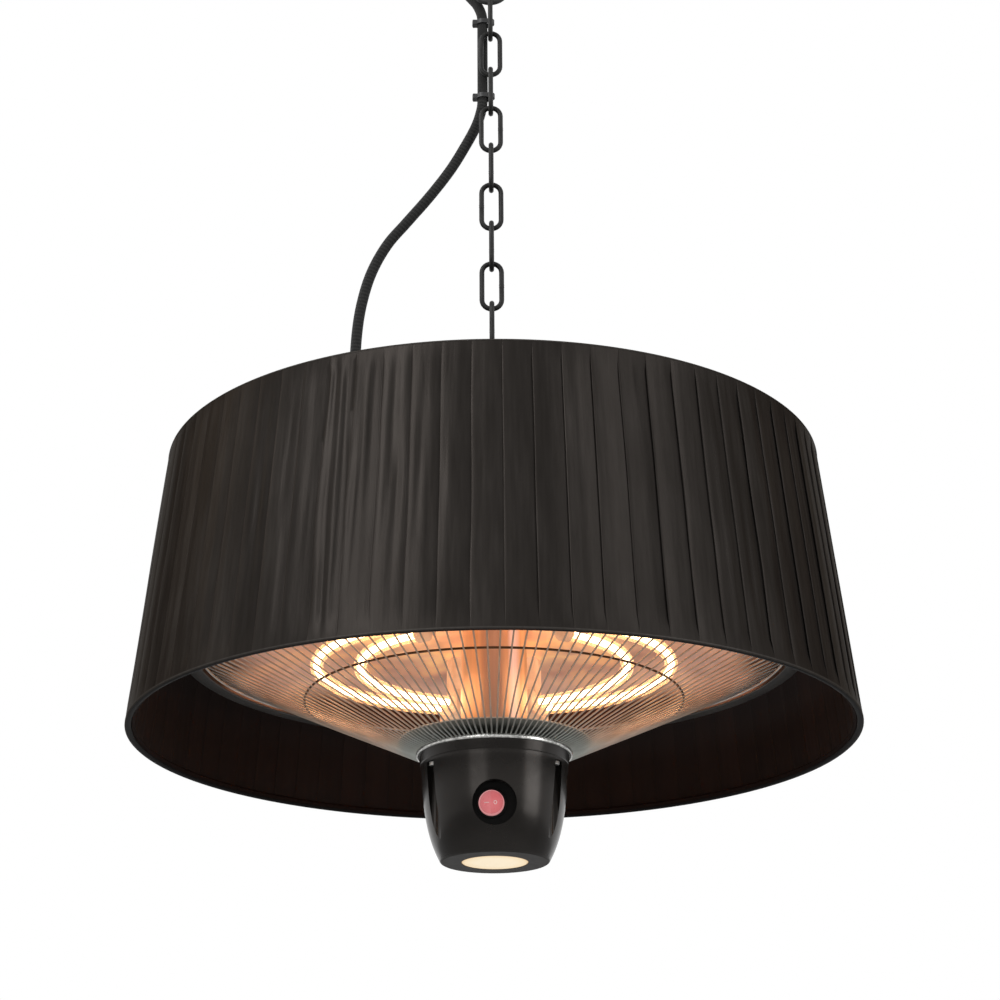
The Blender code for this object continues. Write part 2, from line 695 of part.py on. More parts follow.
def shade_fabric():
    """The pleated cover: each pleat sinks slowly and tucks under the edge of the next."""
    pitch = math.tau / PLEAT_COUNT
    bm = bmesh.new()
    columns = []
    for pleat in range(PLEAT_COUNT):
        start = pitch * (pleat + PLEAT_PHASE_SHARE)
        for angle, drop in ((start, 0), (start + pitch * (1 - PLEAT_FLANK_SHARE), PLEAT_DEPTH)):
            column = []
            for height in (0, SHADE_HEIGHT):
                outer = shade_radius(height)
                inner = outer - PLEAT_DEPTH - FABRIC_THICKNESS
                for radius in (outer - drop, inner):
                    column.append(bm.verts.new((*at_angle(radius, angle), SHADE_BOTTOM_Z + height)))
            columns.append(column)
    for here, there in zip(columns, columns[1:] + columns[:1]):
        for a, b in ((0, 2), (2, 3), (3, 1), (1, 0)):
            bm.faces.new((here[a], there[a], there[b], here[b]))
    add("shade_fabric", mesh_from(bm, "shade_fabric", math.radians(20)), SATIN_FABRIC, heater_axis)


def shade_frame():
    """The two wire rings, the liner between them and the dropped spider that carries them."""
    wire_step = SHADE_HEM + SHADE_WIRE_RADIUS
    for name, height in (("shade_bottom_ring", wire_step), ("shade_top_ring", SHADE_HEIGHT - wire_step)):
        radius = min(liner_outer(height), liner_outer(height + SHADE_WIRE_RADIUS)) - SHADE_WIRE_RADIUS
        points = arc((0, 0, SHADE_BOTTOM_Z + height), radius, 0, math.tau, PLEAT_COUNT, "XY")[:-1]
        add(name, tube(name, points, SHADE_WIRE_RADIUS, cyclic=True, resolution=0), BLACK_STEEL, heater_axis)
    low = wire_step + SHADE_WIRE_RADIUS + GAP
    high = SHADE_HEIGHT - low - SPIDER_ARM_THICKNESS - 2 * GAP
    outline = (
        (liner_outer(high), SHADE_BOTTOM_Z + high),
        (liner_outer(low), SHADE_BOTTOM_Z + low),
        (liner_outer(low) - LINER_THICKNESS, SHADE_BOTTOM_Z + low),
        (liner_outer(high) - LINER_THICKNESS, SHADE_BOTTOM_Z + high),
    )
    add("shade_liner", turned("shade_liner", outline, PLEAT_COUNT), LINER_FABRIC, heater_axis)
    outline = ring_outline(ROD_RADIUS + GAP, HUB_RADIUS, HUB_TOP_Z - HUB_THICKNESS, HUB_TOP_Z)
    spider = add("shade_spider", turned("shade_spider", outline, 36), BLACK_STEEL, heater_axis)
    ring_z = SHADE_TOP_Z - wire_step
    ring_radius = liner_outer(SHADE_HEIGHT) - SHADE_WIRE_RADIUS
    tab_top = ring_z - SHADE_WIRE_RADIUS - GAP
    tab_start = ring_radius - SPIDER_TAB_LENGTH
    root = (HUB_RADIUS + ROD_RADIUS) / 2
    hub_top = HUB_TOP_Z - (HUB_THICKNESS - SPIDER_ARM_THICKNESS) / 2
    outline = (
        (root, hub_top),
        (HUB_RADIUS, hub_top),
        (tab_start, tab_top),
        (ring_radius, tab_top),
        (ring_radius, tab_top - SPIDER_ARM_THICKNESS),
        (tab_start, tab_top - SPIDER_ARM_THICKNESS),
        (HUB_RADIUS, hub_top - SPIDER_ARM_THICKNESS),
        (root, hub_top - SPIDER_ARM_THICKNESS),
    )
    for number in range(SPIDER_ARM_COUNT):
        bm = bmesh.new()
        side = [bm.verts.new((r, -SPIDER_ARM_WIDTH / 2, z)) for r, z in outline]
        face = bm.faces.new(side)
        made = bmesh.ops.extrude_face_region(bm, geom=[face])["geom"]
        moved = [item for item in made if isinstance(item, bmesh.types.BMVert)]
        bmesh.ops.translate(bm, verts=moved, vec=(0, SPIDER_ARM_WIDTH, 0))
        turn = SPIDER_FIRST_ANGLE + math.tau * number / SPIDER_ARM_COUNT
        bmesh.ops.rotate(bm, verts=bm.verts, cent=(0, 0, 0), matrix=Matrix.Rotation(turn, 3, "Z"))
        boolean(spider, cutter(f"spider_arm_{number}", mesh_from(bm, f"spider_arm_{number}")), "UNION")


def hood():
    """The pressed steel hood, with its rolled-in lip and the gland's hole."""
    lip = GRILLE_RADIUS + GRILLE_RING_WIRE_RADIUS + HOOD_LIP_CLEARANCE
    top, rim, t = HOOD_TOP_Z, HOOD_RIM_Z, HOOD_SHEET
    shoulder = top - HOOD_SHOULDER_DROP
    skirt = rim + HOOD_SKIRT
    outline = (
        (ROD_RADIUS + GAP, top),
        (HOOD_TOP_RADIUS, top),
        (HOOD_TOP_RADIUS + HOOD_SHOULDER, shoulder),
        (HOOD_RADIUS - t, skirt),
        (HOOD_RADIUS, skirt - t),
        (HOOD_RADIUS, rim + t),
        (HOOD_RADIUS - t, rim),
        (lip, rim),
        (lip, rim + t),
        (HOOD_RADIUS - 2 * t, rim + t),
        (HOOD_RADIUS - 2 * t, skirt - t),
        (HOOD_TOP_RADIUS + HOOD_SHOULDER - t / 2, shoulder - t),
        (HOOD_TOP_RADIUS, top - t),
        (ROD_RADIUS + GAP, top - t),
    )
    shell = add("hood", turned("hood", outline, 60), GREY_PAINT, heater_axis)
    hole = upright_bar(
        "hood_gland_hole",
        GLAND_NECK_RADIUS + GAP,
        top - t - OVERRUN,
        top + OVERRUN,
        24,
        (-GLAND_OFFSET, 0),
    )
    boolean(shell, cutter("hood_gland_hole", hole))


def cable_gland():
    """The gland on the hood with its tapered strain relief, and the nut that holds it."""
    reach = HOOD_SHEET + GLAND_NUT_HEIGHT + GAP
    mesh = turned("cable_gland", gland_outline(GLAND_TAPER_LENGTH, reach), 24, closed=False)
    gland = add("cable_gland", mesh, BLACK_PLASTIC, heater_axis)
    gland.location = (-GLAND_OFFSET, 0, HOOD_TOP_Z)
    nut_top = -HOOD_SHEET - GAP
    nut_bottom = nut_top - GLAND_NUT_HEIGHT
    mesh = hexagon_nut("gland_nut", GLAND_NECK_RADIUS + GAP, GLAND_NUT_RADIUS, nut_bottom, nut_top)
    nut = add("gland_nut", mesh, BLACK_PLASTIC, heater_axis)
    nut.location = gland.location


def reflector():
    """The polished dish: flange on the hood's lip, sloped side and a flat top."""
    inner = GRILLE_RADIUS + GRILLE_RING_WIRE_RADIUS + HOOD_LIP_CLEARANCE + REFLECTOR_SHEET
    outer = inner + REFLECTOR_FLANGE
    t = REFLECTOR_SHEET
    side = inner - REFLECTOR_TOP_RADIUS
    slope_shares = ((0.00, 0.00), (0.22, 0.32), (0.62, 0.78), (1.00, 1.00))
    start = FLANGE_Z + REFLECTOR_LIP
    rise = REFLECTOR_Z - start
    below = [(inner - side * across, start + rise * up) for across, up in slope_shares]
    above = [(radius, height + t) for radius, height in reversed(below)]
    above[-1] = (inner + t, start + t)
    outline = [(outer, FLANGE_Z), (inner, FLANGE_Z), *below]
    outline += [(ROD_RADIUS + GAP, REFLECTOR_Z), (ROD_RADIUS + GAP, REFLECTOR_Z + t)]
    outline += [*above, (inner + t, FLANGE_Z + t), (outer, FLANGE_Z + t)]
    add("reflector", turned("reflector", outline[::-1], 60), POLISHED, heater_axis)
    bottom = COLUMN_TOP_Z - COLUMN_LENGTH
    outline = ring_outline(COLUMN_RADIUS - COLUMN_WALL, COLUMN_RADIUS, bottom, COLUMN_TOP_Z)
    add("reflector_column", turned("reflector_column", outline, 36), POLISHED, heater_axis)


def lamp_end(bend, shift, end_angle):
    """One end of a lamp's bend: the tip at its holder's face, the short straight end's start,
    and how far round the bend's own middle that start lies."""
    along = Vector((-math.sin(end_angle), math.cos(end_angle), 0))
    away = Vector((-along.y, along.x, 0))
    near = shift * math.sin(end_angle)
    reach = near + math.sqrt(near**2 - shift**2 + bend**2)
    tip = reach * along + GAP * away
    start = tip + LAMP_STRAIGHT_END * away
    return tip, start, math.atan2(start.y, start.x + shift)


def lamp_points(bend, shift):
    """A lamp on the left, from the rear holder's face to the front one's. The bend's middle
    stands a shift to the left, and both ends meet their face squarely."""
    rear_tip, rear_start, rear_turn = lamp_end(bend, shift, REAR_HOLDER_ANGLE)
    front_tip, front_start, front_turn = lamp_end(bend, shift, FRONT_HOLDER_ANGLE)
    middle = arc((-shift, 0, 0), bend, rear_turn, math.tau - front_turn, 22, "XY")
    front_end = [Vector((p.x, -p.y, 0)) for p in (front_start, front_tip)]
    return [rear_tip, rear_start, *middle[1:-1], *front_end]


def lamps():
    """Four quartz tubes bent about the column, and the ceramic holders for their ends: one
    behind the column for all four, and one at each side in front."""
    lamp_z = REFLECTOR_Z - LAMP_DROP
    for side, flip in (("left", 1), ("right", -1)):
        for place, bend, shift in (("inner", LAMP_INNER_BEND, 0), ("outer", LAMP_OUTER_BEND, LAMP_OUTER_SHIFT)):
            points = [Vector((flip * p.x, p.y, lamp_z)) for p in lamp_points(bend, shift)]
            name = f"lamp_{side}_{place}"
            add(name, tube(name, points, LAMP_RADIUS), QUARTZ, heater_axis)
    front_start = FRONT_HOLDER_ANGLE - FRONT_HOLDER_SPREAD
    for name, first, spread, steps in (
        ("lamp_holder_rear", math.pi / 2 - REAR_HOLDER_ANGLE, 2 * REAR_HOLDER_ANGLE, 6),
        ("lamp_holder_front_left", -math.pi / 2 - FRONT_HOLDER_ANGLE, FRONT_HOLDER_SPREAD, 2),
        ("lamp_holder_front_right", -math.pi / 2 + front_start, FRONT_HOLDER_SPREAD, 2),
    ):
        low = lamp_z - HOLDER_HEIGHT / 2
        high = lamp_z + HOLDER_HEIGHT / 2
        top = REFLECTOR_Z - GAP
        outline = (
            (HOLDER_INNER_RADIUS, low),
            (HOLDER_OUTER_RADIUS, low),
            (HOLDER_OUTER_RADIUS, high),
            (HOLDER_POST_OUTER, high),
            (HOLDER_POST_OUTER, top),
            (HOLDER_POST_INNER, top),
            (HOLDER_POST_INNER, high),
            (HOLDER_INNER_RADIUS, high),
        )
        bm = bmesh.new()
        section = [bm.verts.new((radius, 0, height)) for radius, height in outline]
        face = bm.faces.new(section)
        bmesh.ops.rotate(
            bm,
            verts=section,
            cent=(0, 0, 0),
            matrix=Matrix.Rotation(first, 3, "Z"),
        )
        edges = list(face.edges)
        end = bmesh.ops.spin(
            bm,
            geom=section + edges,
            cent=(0, 0, 0),
            axis=(0, 0, 1),
            angle=spread,
            steps=steps,
        )["geom_last"]
        bmesh.ops.contextual_create(bm, geom=[item for item in end if isinstance(item, bmesh.types.BMEdge)])
        add(name, mesh_from(bm, name), CERAMIC, heater_axis)


def grille():
    """The wire cone: a flat collar with its wires drawn out of it, a rim ring and a hoop."""
    name = "grille_wires"
    half = GRILLE_WIRE / 2
    bm = bmesh.new()
    inner = GRILLE_COLLAR_RADIUS - GRILLE_COLLAR_WIDTH
    outline = ring_outline(inner, GRILLE_COLLAR_RADIUS, COLLAR_Z - half, COLLAR_Z + half)
    section = [bm.verts.new((radius, 0, height)) for radius, height in outline]
    edges = [bm.edges.new(pair) for pair in zip(section, section[1:] + section[:1])]
    bmesh.ops.spin(
        bm,
        geom=section + edges,
        cent=(0, 0, 0),
        axis=(0, 0, 1),
        angle=math.tau,
        steps=2 * GRILLE_WIRE_COUNT,
        use_merge=True,
    )
    wall = [
        face
        for face in bm.faces
        if all(Vector(v.co[:2]).length > GRILLE_COLLAR_RADIUS - half for v in face.verts)
    ]
    step = math.tau / (2 * GRILLE_WIRE_COUNT)
    roots = [face for face in wall if int(polar(face) / step) % 2 == 0]
    tip = GRILLE_RADIUS - GRILLE_RING_WIRE_RADIUS - GAP
    for face in bmesh.ops.extrude_discrete_faces(bm, faces=roots)["faces"]:
        angle = polar(face)
        out = Vector((*at_angle(1, angle), 0))
        across = Vector((-out.y, out.x, 0))
        for vert in face.verts:
            sideways = math.copysign(half, vert.co.dot(across))
            lift = math.copysign(half, vert.co.z - COLLAR_Z)
            vert.co = tip * out + sideways * across + Vector((0, 0, GRILLE_RING_Z + lift))
    add(name, mesh_from(bm, name, math.radians(30)), GRILLE_STEEL, heater_axis)
    slope = GRILLE_DEPTH / (tip - GRILLE_COLLAR_RADIUS)
    spread = math.sqrt(1 + slope**2)
    hoop_z = COLLAR_Z + (GRILLE_HOOP_RADIUS - GRILLE_COLLAR_RADIUS) * slope + half
    hoop_z += (GRILLE_HOOP_WIRE_RADIUS + GAP) * spread
    turn = Matrix.Rotation(step / 2, 4, "Z")
    rings = (
        ("grille_rim_ring", GRILLE_RADIUS, GRILLE_RING_Z, GRILLE_RING_WIRE_RADIUS, GRILLE_WIRE_COUNT),
        ("grille_hoop", GRILLE_HOOP_RADIUS, hoop_z, GRILLE_HOOP_WIRE_RADIUS, GRILLE_WIRE_COUNT // 2),
    )
    for name, radius, height, wire, count in rings:
        points = arc((0, 0, height), radius, 0, math.tau, count, "XY")[:-1]
        points = [turn @ point for point in points]
        add(name, tube(name, points, wire, cyclic=True, resolution=0), GRILLE_STEEL, heater_axis)


def polar(face):
    """The angle of a face's middle about the heater's axis, from zero to a full turn."""
    middle = face.calc_center_median()
    return math.atan2(middle.y, middle.x) % math.tau


def screw_angles():
    """Where the cup's screws stand: one at the back, the others a third of a turn away."""
    return [math.pi / 2 + math.tau * number / CUP_SCREW_COUNT for number in range(CUP_SCREW_COUNT)]


def heat_shield():
    """The dark disc that keeps the lamps' heat off the cup."""
    low = SHIELD_TOP_Z - SHIELD_THICKNESS
    outline = ring_outline(ROD_RADIUS + GAP, SHIELD_RADIUS, low, SHIELD_TOP_Z)
    shield = add("heat_shield", turned("heat_shield", outline, 48), SHIELD_METAL, heater_axis)
    for number, angle in enumerate(screw_angles()):
        place = at_angle(CHANNEL_OFFSET, angle)
        hole = upright_bar(
            f"shield_hole_{number}", CUP_SCREW_RADIUS + GAP, low - OVERRUN, SHIELD_TOP_Z + OVERRUN, 12, place
        )
        boolean(shield, cutter(f"shield_hole_{number}", hole))


def cup_outline(inset):
    """The cup's side from top to bottom, drawn in by an inset."""
    return [(CUP_TOP_RADIUS * wide - inset, CUP_TOP_Z - CUP_HEIGHT * down) for down, wide in CUP_OUTLINE_SHARES]


def control_cup():
    """The moulded cup: hollow, with three screw channels, the switch's recess and the
    lens's opening in its base."""
    bore = ROD_RADIUS + GAP
    side = cup_outline(0)
    outline = [(bore, CUP_HUB_Z), (CUP_HUB_RADIUS, CUP_HUB_Z), (CUP_HUB_RADIUS, CUP_TOP_Z), *side]
    outline += [
        (CUP_BOTTOM_RADIUS + CUP_EDGE / 4, CUP_BOTTOM_Z + CUP_EDGE / 3),
        (CUP_BOTTOM_RADIUS, CUP_BOTTOM_Z),
        (LENS_RADIUS + GAP, CUP_BOTTOM_Z),
        (LENS_RADIUS + GAP, CUP_BOTTOM_Z + OVERRUN),
        (bore, CUP_BOTTOM_Z + OVERRUN),
    ]
    cup = add("control_cup", turned("control_cup", outline, 48), BLACK_PLASTIC, heater_axis)
    roof = CUP_TOP_Z - CUP_WALL
    floor = CUP_BOTTOM_Z + CUP_WALL
    wall = cup_outline(CUP_WALL)[1:]
    hollow = [(0, roof), (wall[0][0] + CUP_WALL / 2, roof), *wall, (CUP_BOTTOM_RADIUS - CUP_WALL / 2, floor), (0, floor)]
    cavity = cutter("cup_cavity", turned("cup_cavity", hollow, 48, closed=False))
    front = Matrix.Rotation(math.pi / 2, 4, "X")
    recess_y = -recess_face()
    pad_back = recess_y + CUP_WALL
    pad = upright_bar("switch_pad", RECESS_RADIUS + CUP_WALL, -pad_back, CUP_TOP_RADIUS + OVERRUN, 32)
    pad.transform(Matrix.Translation((0, 0, switch_z())) @ front)
    boolean(cavity, cutter("switch_pad", pad))
    for number, angle in enumerate(screw_angles()):
        place = at_angle(CHANNEL_OFFSET, angle)
        post = upright_bar(
            f"channel_post_{number}",
            CHANNEL_RADIUS + CHANNEL_WALL,
            CUP_BOTTOM_Z - OVERRUN,
            CUP_TOP_Z + OVERRUN,
            20,
            place,
        )
        boolean(cavity, cutter(f"channel_post_{number}", post))
    boolean(cup, cavity)
    for number, angle in enumerate(screw_angles()):
        place = at_angle(CHANNEL_OFFSET, angle)
        seat = CUP_TOP_Z - CHANNEL_TOP
        channel = upright_bar(f"channel_{number}", CHANNEL_RADIUS, CUP_BOTTOM_Z - OVERRUN, seat, 20, place)
        boolean(cup, cutter(f"channel_{number}", channel))
        hole = upright_bar(
            f"channel_hole_{number}", CUP_SCREW_RADIUS + GAP, seat - OVERRUN, CUP_TOP_Z + OVERRUN, 12, place
        )
        boolean(cup, cutter(f"channel_hole_{number}", hole))
    recess = upright_bar("switch_recess", RECESS_RADIUS, -recess_y, CUP_TOP_RADIUS + OVERRUN, 36)
    recess.transform(Matrix.Translation((0, 0, switch_z())) @ front)
    boolean(cup, cutter("switch_recess", recess))
    bore_tool = upright_bar("switch_bore", BEZEL_BARREL_RADIUS + GAP, -pad_back - OVERRUN, -recess_y + OVERRUN, 32)
    bore_tool.transform(Matrix.Translation((-SWITCH_SHIFT, 0, switch_z())) @ front)
    boolean(cup, cutter("switch_bore", bore_tool))


def switch_z():
    """The height of the switch's middle."""
    return CUP_TOP_Z - SWITCH_DROP


def recess_face():
    """How far in front of the axis the recess's floor stands."""
    down = SWITCH_DROP / CUP_HEIGHT
    (d0, w0), (d1, w1) = CUP_OUTLINE_SHARES[2], CUP_OUTLINE_SHARES[3]
    wide = w0 + (w1 - w0) * (down - d0) / (d1 - d0)
    return CUP_TOP_RADIUS * wide - RECESS_DEPTH


def cup_screws():
    """The three long screws up the channels, through the cup's roof and the shield."""
    for number, angle in enumerate(screw_angles()):
        seat = CUP_TOP_Z - CHANNEL_TOP - GAP
        low = seat - CUP_SCREW_HEAD_HEIGHT
        outline = (
            (0, SHIELD_TOP_Z + CUP_SCREW_END),
            (CUP_SCREW_RADIUS, SHIELD_TOP_Z + CUP_SCREW_END),
            (CUP_SCREW_RADIUS, seat),
            (CUP_SCREW_HEAD_RADIUS, seat),
            (CUP_SCREW_HEAD_RADIUS, low),
            (0, low),
        )
        name = f"cup_screw_{number + 1}"
        mesh = turned(name, outline, 12, closed=False)
        screw = add(name, mesh, ZINC, heater_axis)
        screw.location = (*at_angle(CHANNEL_OFFSET, angle), 0)


def cup_light():
    """The opal lens in the base and the board of diodes on its rim."""
    web_top = CUP_BOTTOM_Z + CUP_WALL + GAP
    flange_top = web_top + LENS_THICKNESS
    rim_top = web_top + LENS_RIM_HEIGHT
    outer = LENS_RADIUS + LENS_FLANGE
    outline = (
        (0, flange_top),
        (outer - LENS_THICKNESS, flange_top),
        (outer - LENS_THICKNESS, rim_top),
        (outer, rim_top),
        (outer, web_top),
        (LENS_RADIUS, web_top),
        (LENS_RADIUS, CUP_BOTTOM_Z),
        (0, CUP_BOTTOM_Z),
    )
    add("light_lens", turned("light_lens", outline, 36, closed=False), OPAL, heater_axis)
    board = upright_bar("light_board", outer, rim_top + GAP, rim_top + GAP + BOARD_THICKNESS, 24)
    add("light_board", board, BOARD_GREEN, heater_axis)


def switch():
    """The round bezel in the recess and the rocker that turns about an upright axis in it."""
    outline = (
        (BEZEL_BORE_RADIUS, BEZEL_FLANGE),
        (BEZEL_RADIUS, BEZEL_FLANGE),
        (BEZEL_RADIUS, GAP),
        (BEZEL_BARREL_RADIUS, GAP),
        (BEZEL_BARREL_RADIUS, -BEZEL_LENGTH),
        (BEZEL_BORE_RADIUS, -BEZEL_LENGTH),
    )
    bezel = add("switch_bezel", turned("switch_bezel", outline, 36), BLACK_PLASTIC, heater_axis)
    bezel.rotation_euler = (math.pi / 2, 0, 0)
    bezel.location = (-SWITCH_SHIFT, -recess_face(), switch_z())
    pivot = Vector((-SWITCH_SHIFT, -recess_face() - ROCKER_PIVOT_LEAD, switch_z()))
    rocker_axis = axis_at("rocker_axis", pivot, heater_axis)
    bm = bmesh.new()
    bmesh.ops.create_uvsphere(bm, u_segments=28, v_segments=18, radius=ROCKER_RADIUS)
    bmesh.ops.rotate(bm, verts=bm.verts, cent=(0, 0, 0), matrix=Matrix.Rotation(math.pi / 2, 3, "X"))
    faces = (
        ((0, ROCKER_BACK, 0), (0, 1, 0)),
        ((0, -ROCKER_FACE, 0), (math.sin(ROCKER_HALF_ANGLE), -math.cos(ROCKER_HALF_ANGLE), 0)),
        ((0, -ROCKER_FACE, 0), (-math.sin(ROCKER_HALF_ANGLE), -math.cos(ROCKER_HALF_ANGLE), 0)),
    )
    for place, out in faces:
        cut = bmesh.ops.bisect_plane(
            bm,
            geom=bm.verts[:] + bm.edges[:] + bm.faces[:],
            plane_co=place,
            plane_no=out,
            clear_outer=True,
        )["geom_cut"]
        bmesh.ops.contextual_create(bm, geom=[item for item in cut if isinstance(item, bmesh.types.BMEdge)])
    mesh = mesh_from(bm, "switch_rocker", math.radians(12))
    rocker = add("switch_rocker", mesh, RED_PLASTIC, None)
    rocker.parent = rocker_axis
    rocker.rotation_euler = (0, 0, -ROCKER_HALF_ANGLE)


def wiring():
    """The terminal block under the hood's top and the thermal cut-out on the reflector."""
    high = HOOD_TOP_Z - HOOD_SHEET - GAP
    bm = bmesh.new()
    bmesh.ops.create_cube(bm, size=1)
    bmesh.ops.scale(bm, verts=bm.verts, vec=(TERMINAL_WIDTH, TERMINAL_LENGTH, TERMINAL_HEIGHT))
    bmesh.ops.bevel(
        bm,
        geom=bm.edges[:],
        offset=TERMINAL_BEVEL,
        offset_type="OFFSET",
        segments=1,
        profile=0.5,
        affect="EDGES",
        material=-1,
    )
    block = add("terminal_block", mesh_from(bm, "terminal_block"), CERAMIC, heater_axis)
    block.location = (-TERMINAL_OFFSET, 0, high - TERMINAL_HEIGHT / 2)
    low = REFLECTOR_Z + REFLECTOR_SHEET + GAP
    body = upright_bar("thermal_cutout", CUTOUT_RADIUS, low, low + CUTOUT_HEIGHT, 20, (CUTOUT_OFFSET, 0))
    add("thermal_cutout", body, CERAMIC, heater_axis)


ceiling_plate()
ceiling_hook()
ceiling_gland()
chain()
lead()
cable_tie("cable_tie_upper", UPPER_TIE_Z, link_axis)
cable_tie("cable_tie_lower", LOWER_TIE_Z, chain_axis)
eye_nut()
rod_and_spacers()
shade_fabric()
shade_frame()
hood()
cable_gland()
reflector()
lamps()
grille()
heat_shield()
control_cup()
cup_screws()
cup_light()
switch()
wiring()
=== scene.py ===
import math
import random

import bmesh
import bpy
from mathutils import Matrix, Vector, noise


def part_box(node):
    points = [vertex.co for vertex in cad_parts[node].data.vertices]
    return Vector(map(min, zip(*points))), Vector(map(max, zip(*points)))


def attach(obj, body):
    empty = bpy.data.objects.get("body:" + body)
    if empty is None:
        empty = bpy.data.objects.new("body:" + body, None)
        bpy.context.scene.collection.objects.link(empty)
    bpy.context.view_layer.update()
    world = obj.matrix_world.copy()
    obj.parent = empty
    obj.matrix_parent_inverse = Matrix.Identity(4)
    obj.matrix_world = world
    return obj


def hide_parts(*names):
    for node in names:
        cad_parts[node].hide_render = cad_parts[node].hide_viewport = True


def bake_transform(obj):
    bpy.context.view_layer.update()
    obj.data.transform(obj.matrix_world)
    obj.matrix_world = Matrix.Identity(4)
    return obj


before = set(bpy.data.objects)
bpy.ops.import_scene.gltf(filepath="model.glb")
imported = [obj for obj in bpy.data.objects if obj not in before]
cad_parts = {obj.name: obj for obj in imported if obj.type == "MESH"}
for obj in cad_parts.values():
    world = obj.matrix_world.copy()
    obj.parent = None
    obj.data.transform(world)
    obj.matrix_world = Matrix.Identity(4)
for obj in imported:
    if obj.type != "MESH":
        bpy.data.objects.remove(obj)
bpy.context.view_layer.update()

bpy.context.scene.view_settings.view_transform = "Standard"

# Camera. It stands in front of the heater and below it, and looks up by 21 degrees
# through a short telephoto lens, so the chain runs out of the picture at the top.
camera_data = bpy.data.cameras.new("camera")
camera_data.lens = 78.46
camera_data.sensor_width = 36
camera_data.shift_x = 0.0068
camera = bpy.data.objects.new("camera", camera_data)
bpy.context.scene.collection.objects.link(camera)
camera.matrix_world = (
    Matrix.Translation((0.0002, -1.74135, -1.24782))
    @ Matrix.Rotation(math.radians(111), 4, "X")
    @ Matrix.Rotation(math.radians(-0.32), 4, "Z")
)
bpy.context.scene.camera = camera

# Backdrop and floor. The world is a white studio: rays from the camera, gloss and glass
# see it at full white, and the object is lit by a softer share of it.
world = bpy.data.worlds.new("studio")
bpy.context.scene.world = world
world.use_nodes = True
tree = world.node_tree
tree.nodes.clear()
rays = tree.nodes.new("ShaderNodeLightPath")
sees_white = rays.outputs["Is Camera Ray"]
for ray in ("Is Glossy Ray", "Is Transmission Ray"):
    either = tree.nodes.new("ShaderNodeMath")
    either.operation = "MAXIMUM"
    tree.links.new(sees_white, either.inputs[0])
    tree.links.new(rays.outputs[ray], either.inputs[1])
    sees_white = either.outputs["Value"]
seen = tree.nodes.new("ShaderNodeMixShader")
tree.links.new(sees_white, seen.inputs["Fac"])
for slot_index, strength in ((1, 0.42), (2, 1.0)):
    backdrop = tree.nodes.new("ShaderNodeBackground")
    backdrop.inputs["Color"].default_value = (1, 1, 1, 1)
    backdrop.inputs["Strength"].default_value = strength
    tree.links.new(backdrop.outputs["Background"], seen.inputs[slot_index])
world_out = tree.nodes.new("ShaderNodeOutputWorld")
tree.links.new(seen.outputs["Shader"], world_out.inputs["Surface"])

floor_bm = bmesh.new()
bmesh.ops.create_grid(floor_bm, x_segments=1, y_segments=1, size=9)
bmesh.ops.translate(floor_bm, verts=floor_bm.verts, vec=(0, 0, -2.1))
floor_mesh = bpy.data.meshes.new("floor")
floor_bm.to_mesh(floor_mesh)
floor_bm.free()
floor_paint = bpy.data.materials.new("floor_paint")
floor_paint.use_nodes = True
floor_shader = floor_paint.node_tree.nodes["Principled BSDF"]
floor_shader.inputs["Base Color"].default_value = (0.80, 0.80, 0.80, 1)
floor_shader.inputs["Roughness"].default_value = 0.9
floor_mesh.materials.append(floor_paint)
floor = bpy.data.objects.new("floor", floor_mesh)
bpy.context.scene.collection.objects.link(floor)


def softbox(name, azimuth, elevation, distance, width, height, watts):
    """A studio softbox that faces the heater. Azimuth runs from the front to the right."""
    data = bpy.data.lights.new(name, "AREA")
    data.shape = "RECTANGLE"
    data.size = width
    data.size_y = height
    data.energy = watts
    lamp = bpy.data.objects.new(name, data)
    bpy.context.scene.collection.objects.link(lamp)
    around, up = math.radians(azimuth), math.radians(elevation)
    away = Vector((math.sin(around) * math.cos(up), -math.cos(around) * math.cos(up), math.sin(up)))
    lamp.location = Vector((0, 0, -0.68)) + distance * away
    lamp.rotation_euler = away.to_track_quat("Z", "Y").to_euler()


softbox("key_left", -37, 35, 2.6, 0.75, 1.2, 26)
softbox("low_left", -25, 2, 2.8, 1.3, 0.9, 7)
softbox("right_high", 50, 34, 2.6, 0.7, 1.2, 10)
softbox("low_right", 62, -1, 2.6, 1.2, 1.0, 14)
softbox("far_left", -98, 33, 2.4, 0.7, 0.9, 9)


# Mains lead: black textile braid over rubber, 9.6 mm thick. It leaves the hood's gland,
# swings in to the chain, is tied to it twice and goes up to the ceiling's gland.
def node(material, kind, inputs=None, **settings):
    """Adds a shader node. Each input is a value, or a socket to link."""
    made = material.node_tree.nodes.new("ShaderNode" + kind)
    for key, value in settings.items():
        setattr(made, key, value)
    for key, value in (inputs or {}).items():
        if isinstance(value, bpy.types.NodeSocket):
            material.node_tree.links.new(value, made.inputs[key])
        else:
            made.inputs[key].default_value = value
    return made


def finish(name, metallic=0.0, **sockets):
    """A new material with a Principled shader, and the sockets that are even all over."""
    material = bpy.data.materials.new(name)
    material.use_nodes = True
    inputs = material.node_tree.nodes["Principled BSDF"].inputs
    inputs["Metallic"].default_value = metallic
    for key, value in sockets.items():
        inputs[key.replace("_", " ")].default_value = value
    return material


def link(material, source, socket):
    """Joins a node's output to one of the shader's sockets."""
    tree = material.node_tree
    tree.links.new(source, tree.nodes["Principled BSDF"].inputs[socket])


def shades(material, factor, *stops):
    """A colour ramp through the stops, each a place and a colour."""
    ramp = node(material, "ValToRGB", {"Fac": factor})
    while len(ramp.color_ramp.elements) < len(stops):
        ramp.color_ramp.elements.new(1)
    for element, (place, colour) in zip(ramp.color_ramp.elements, stops):
        element.position = place
        element.color = (*colour, 1)
    return ramp.outputs["Color"]


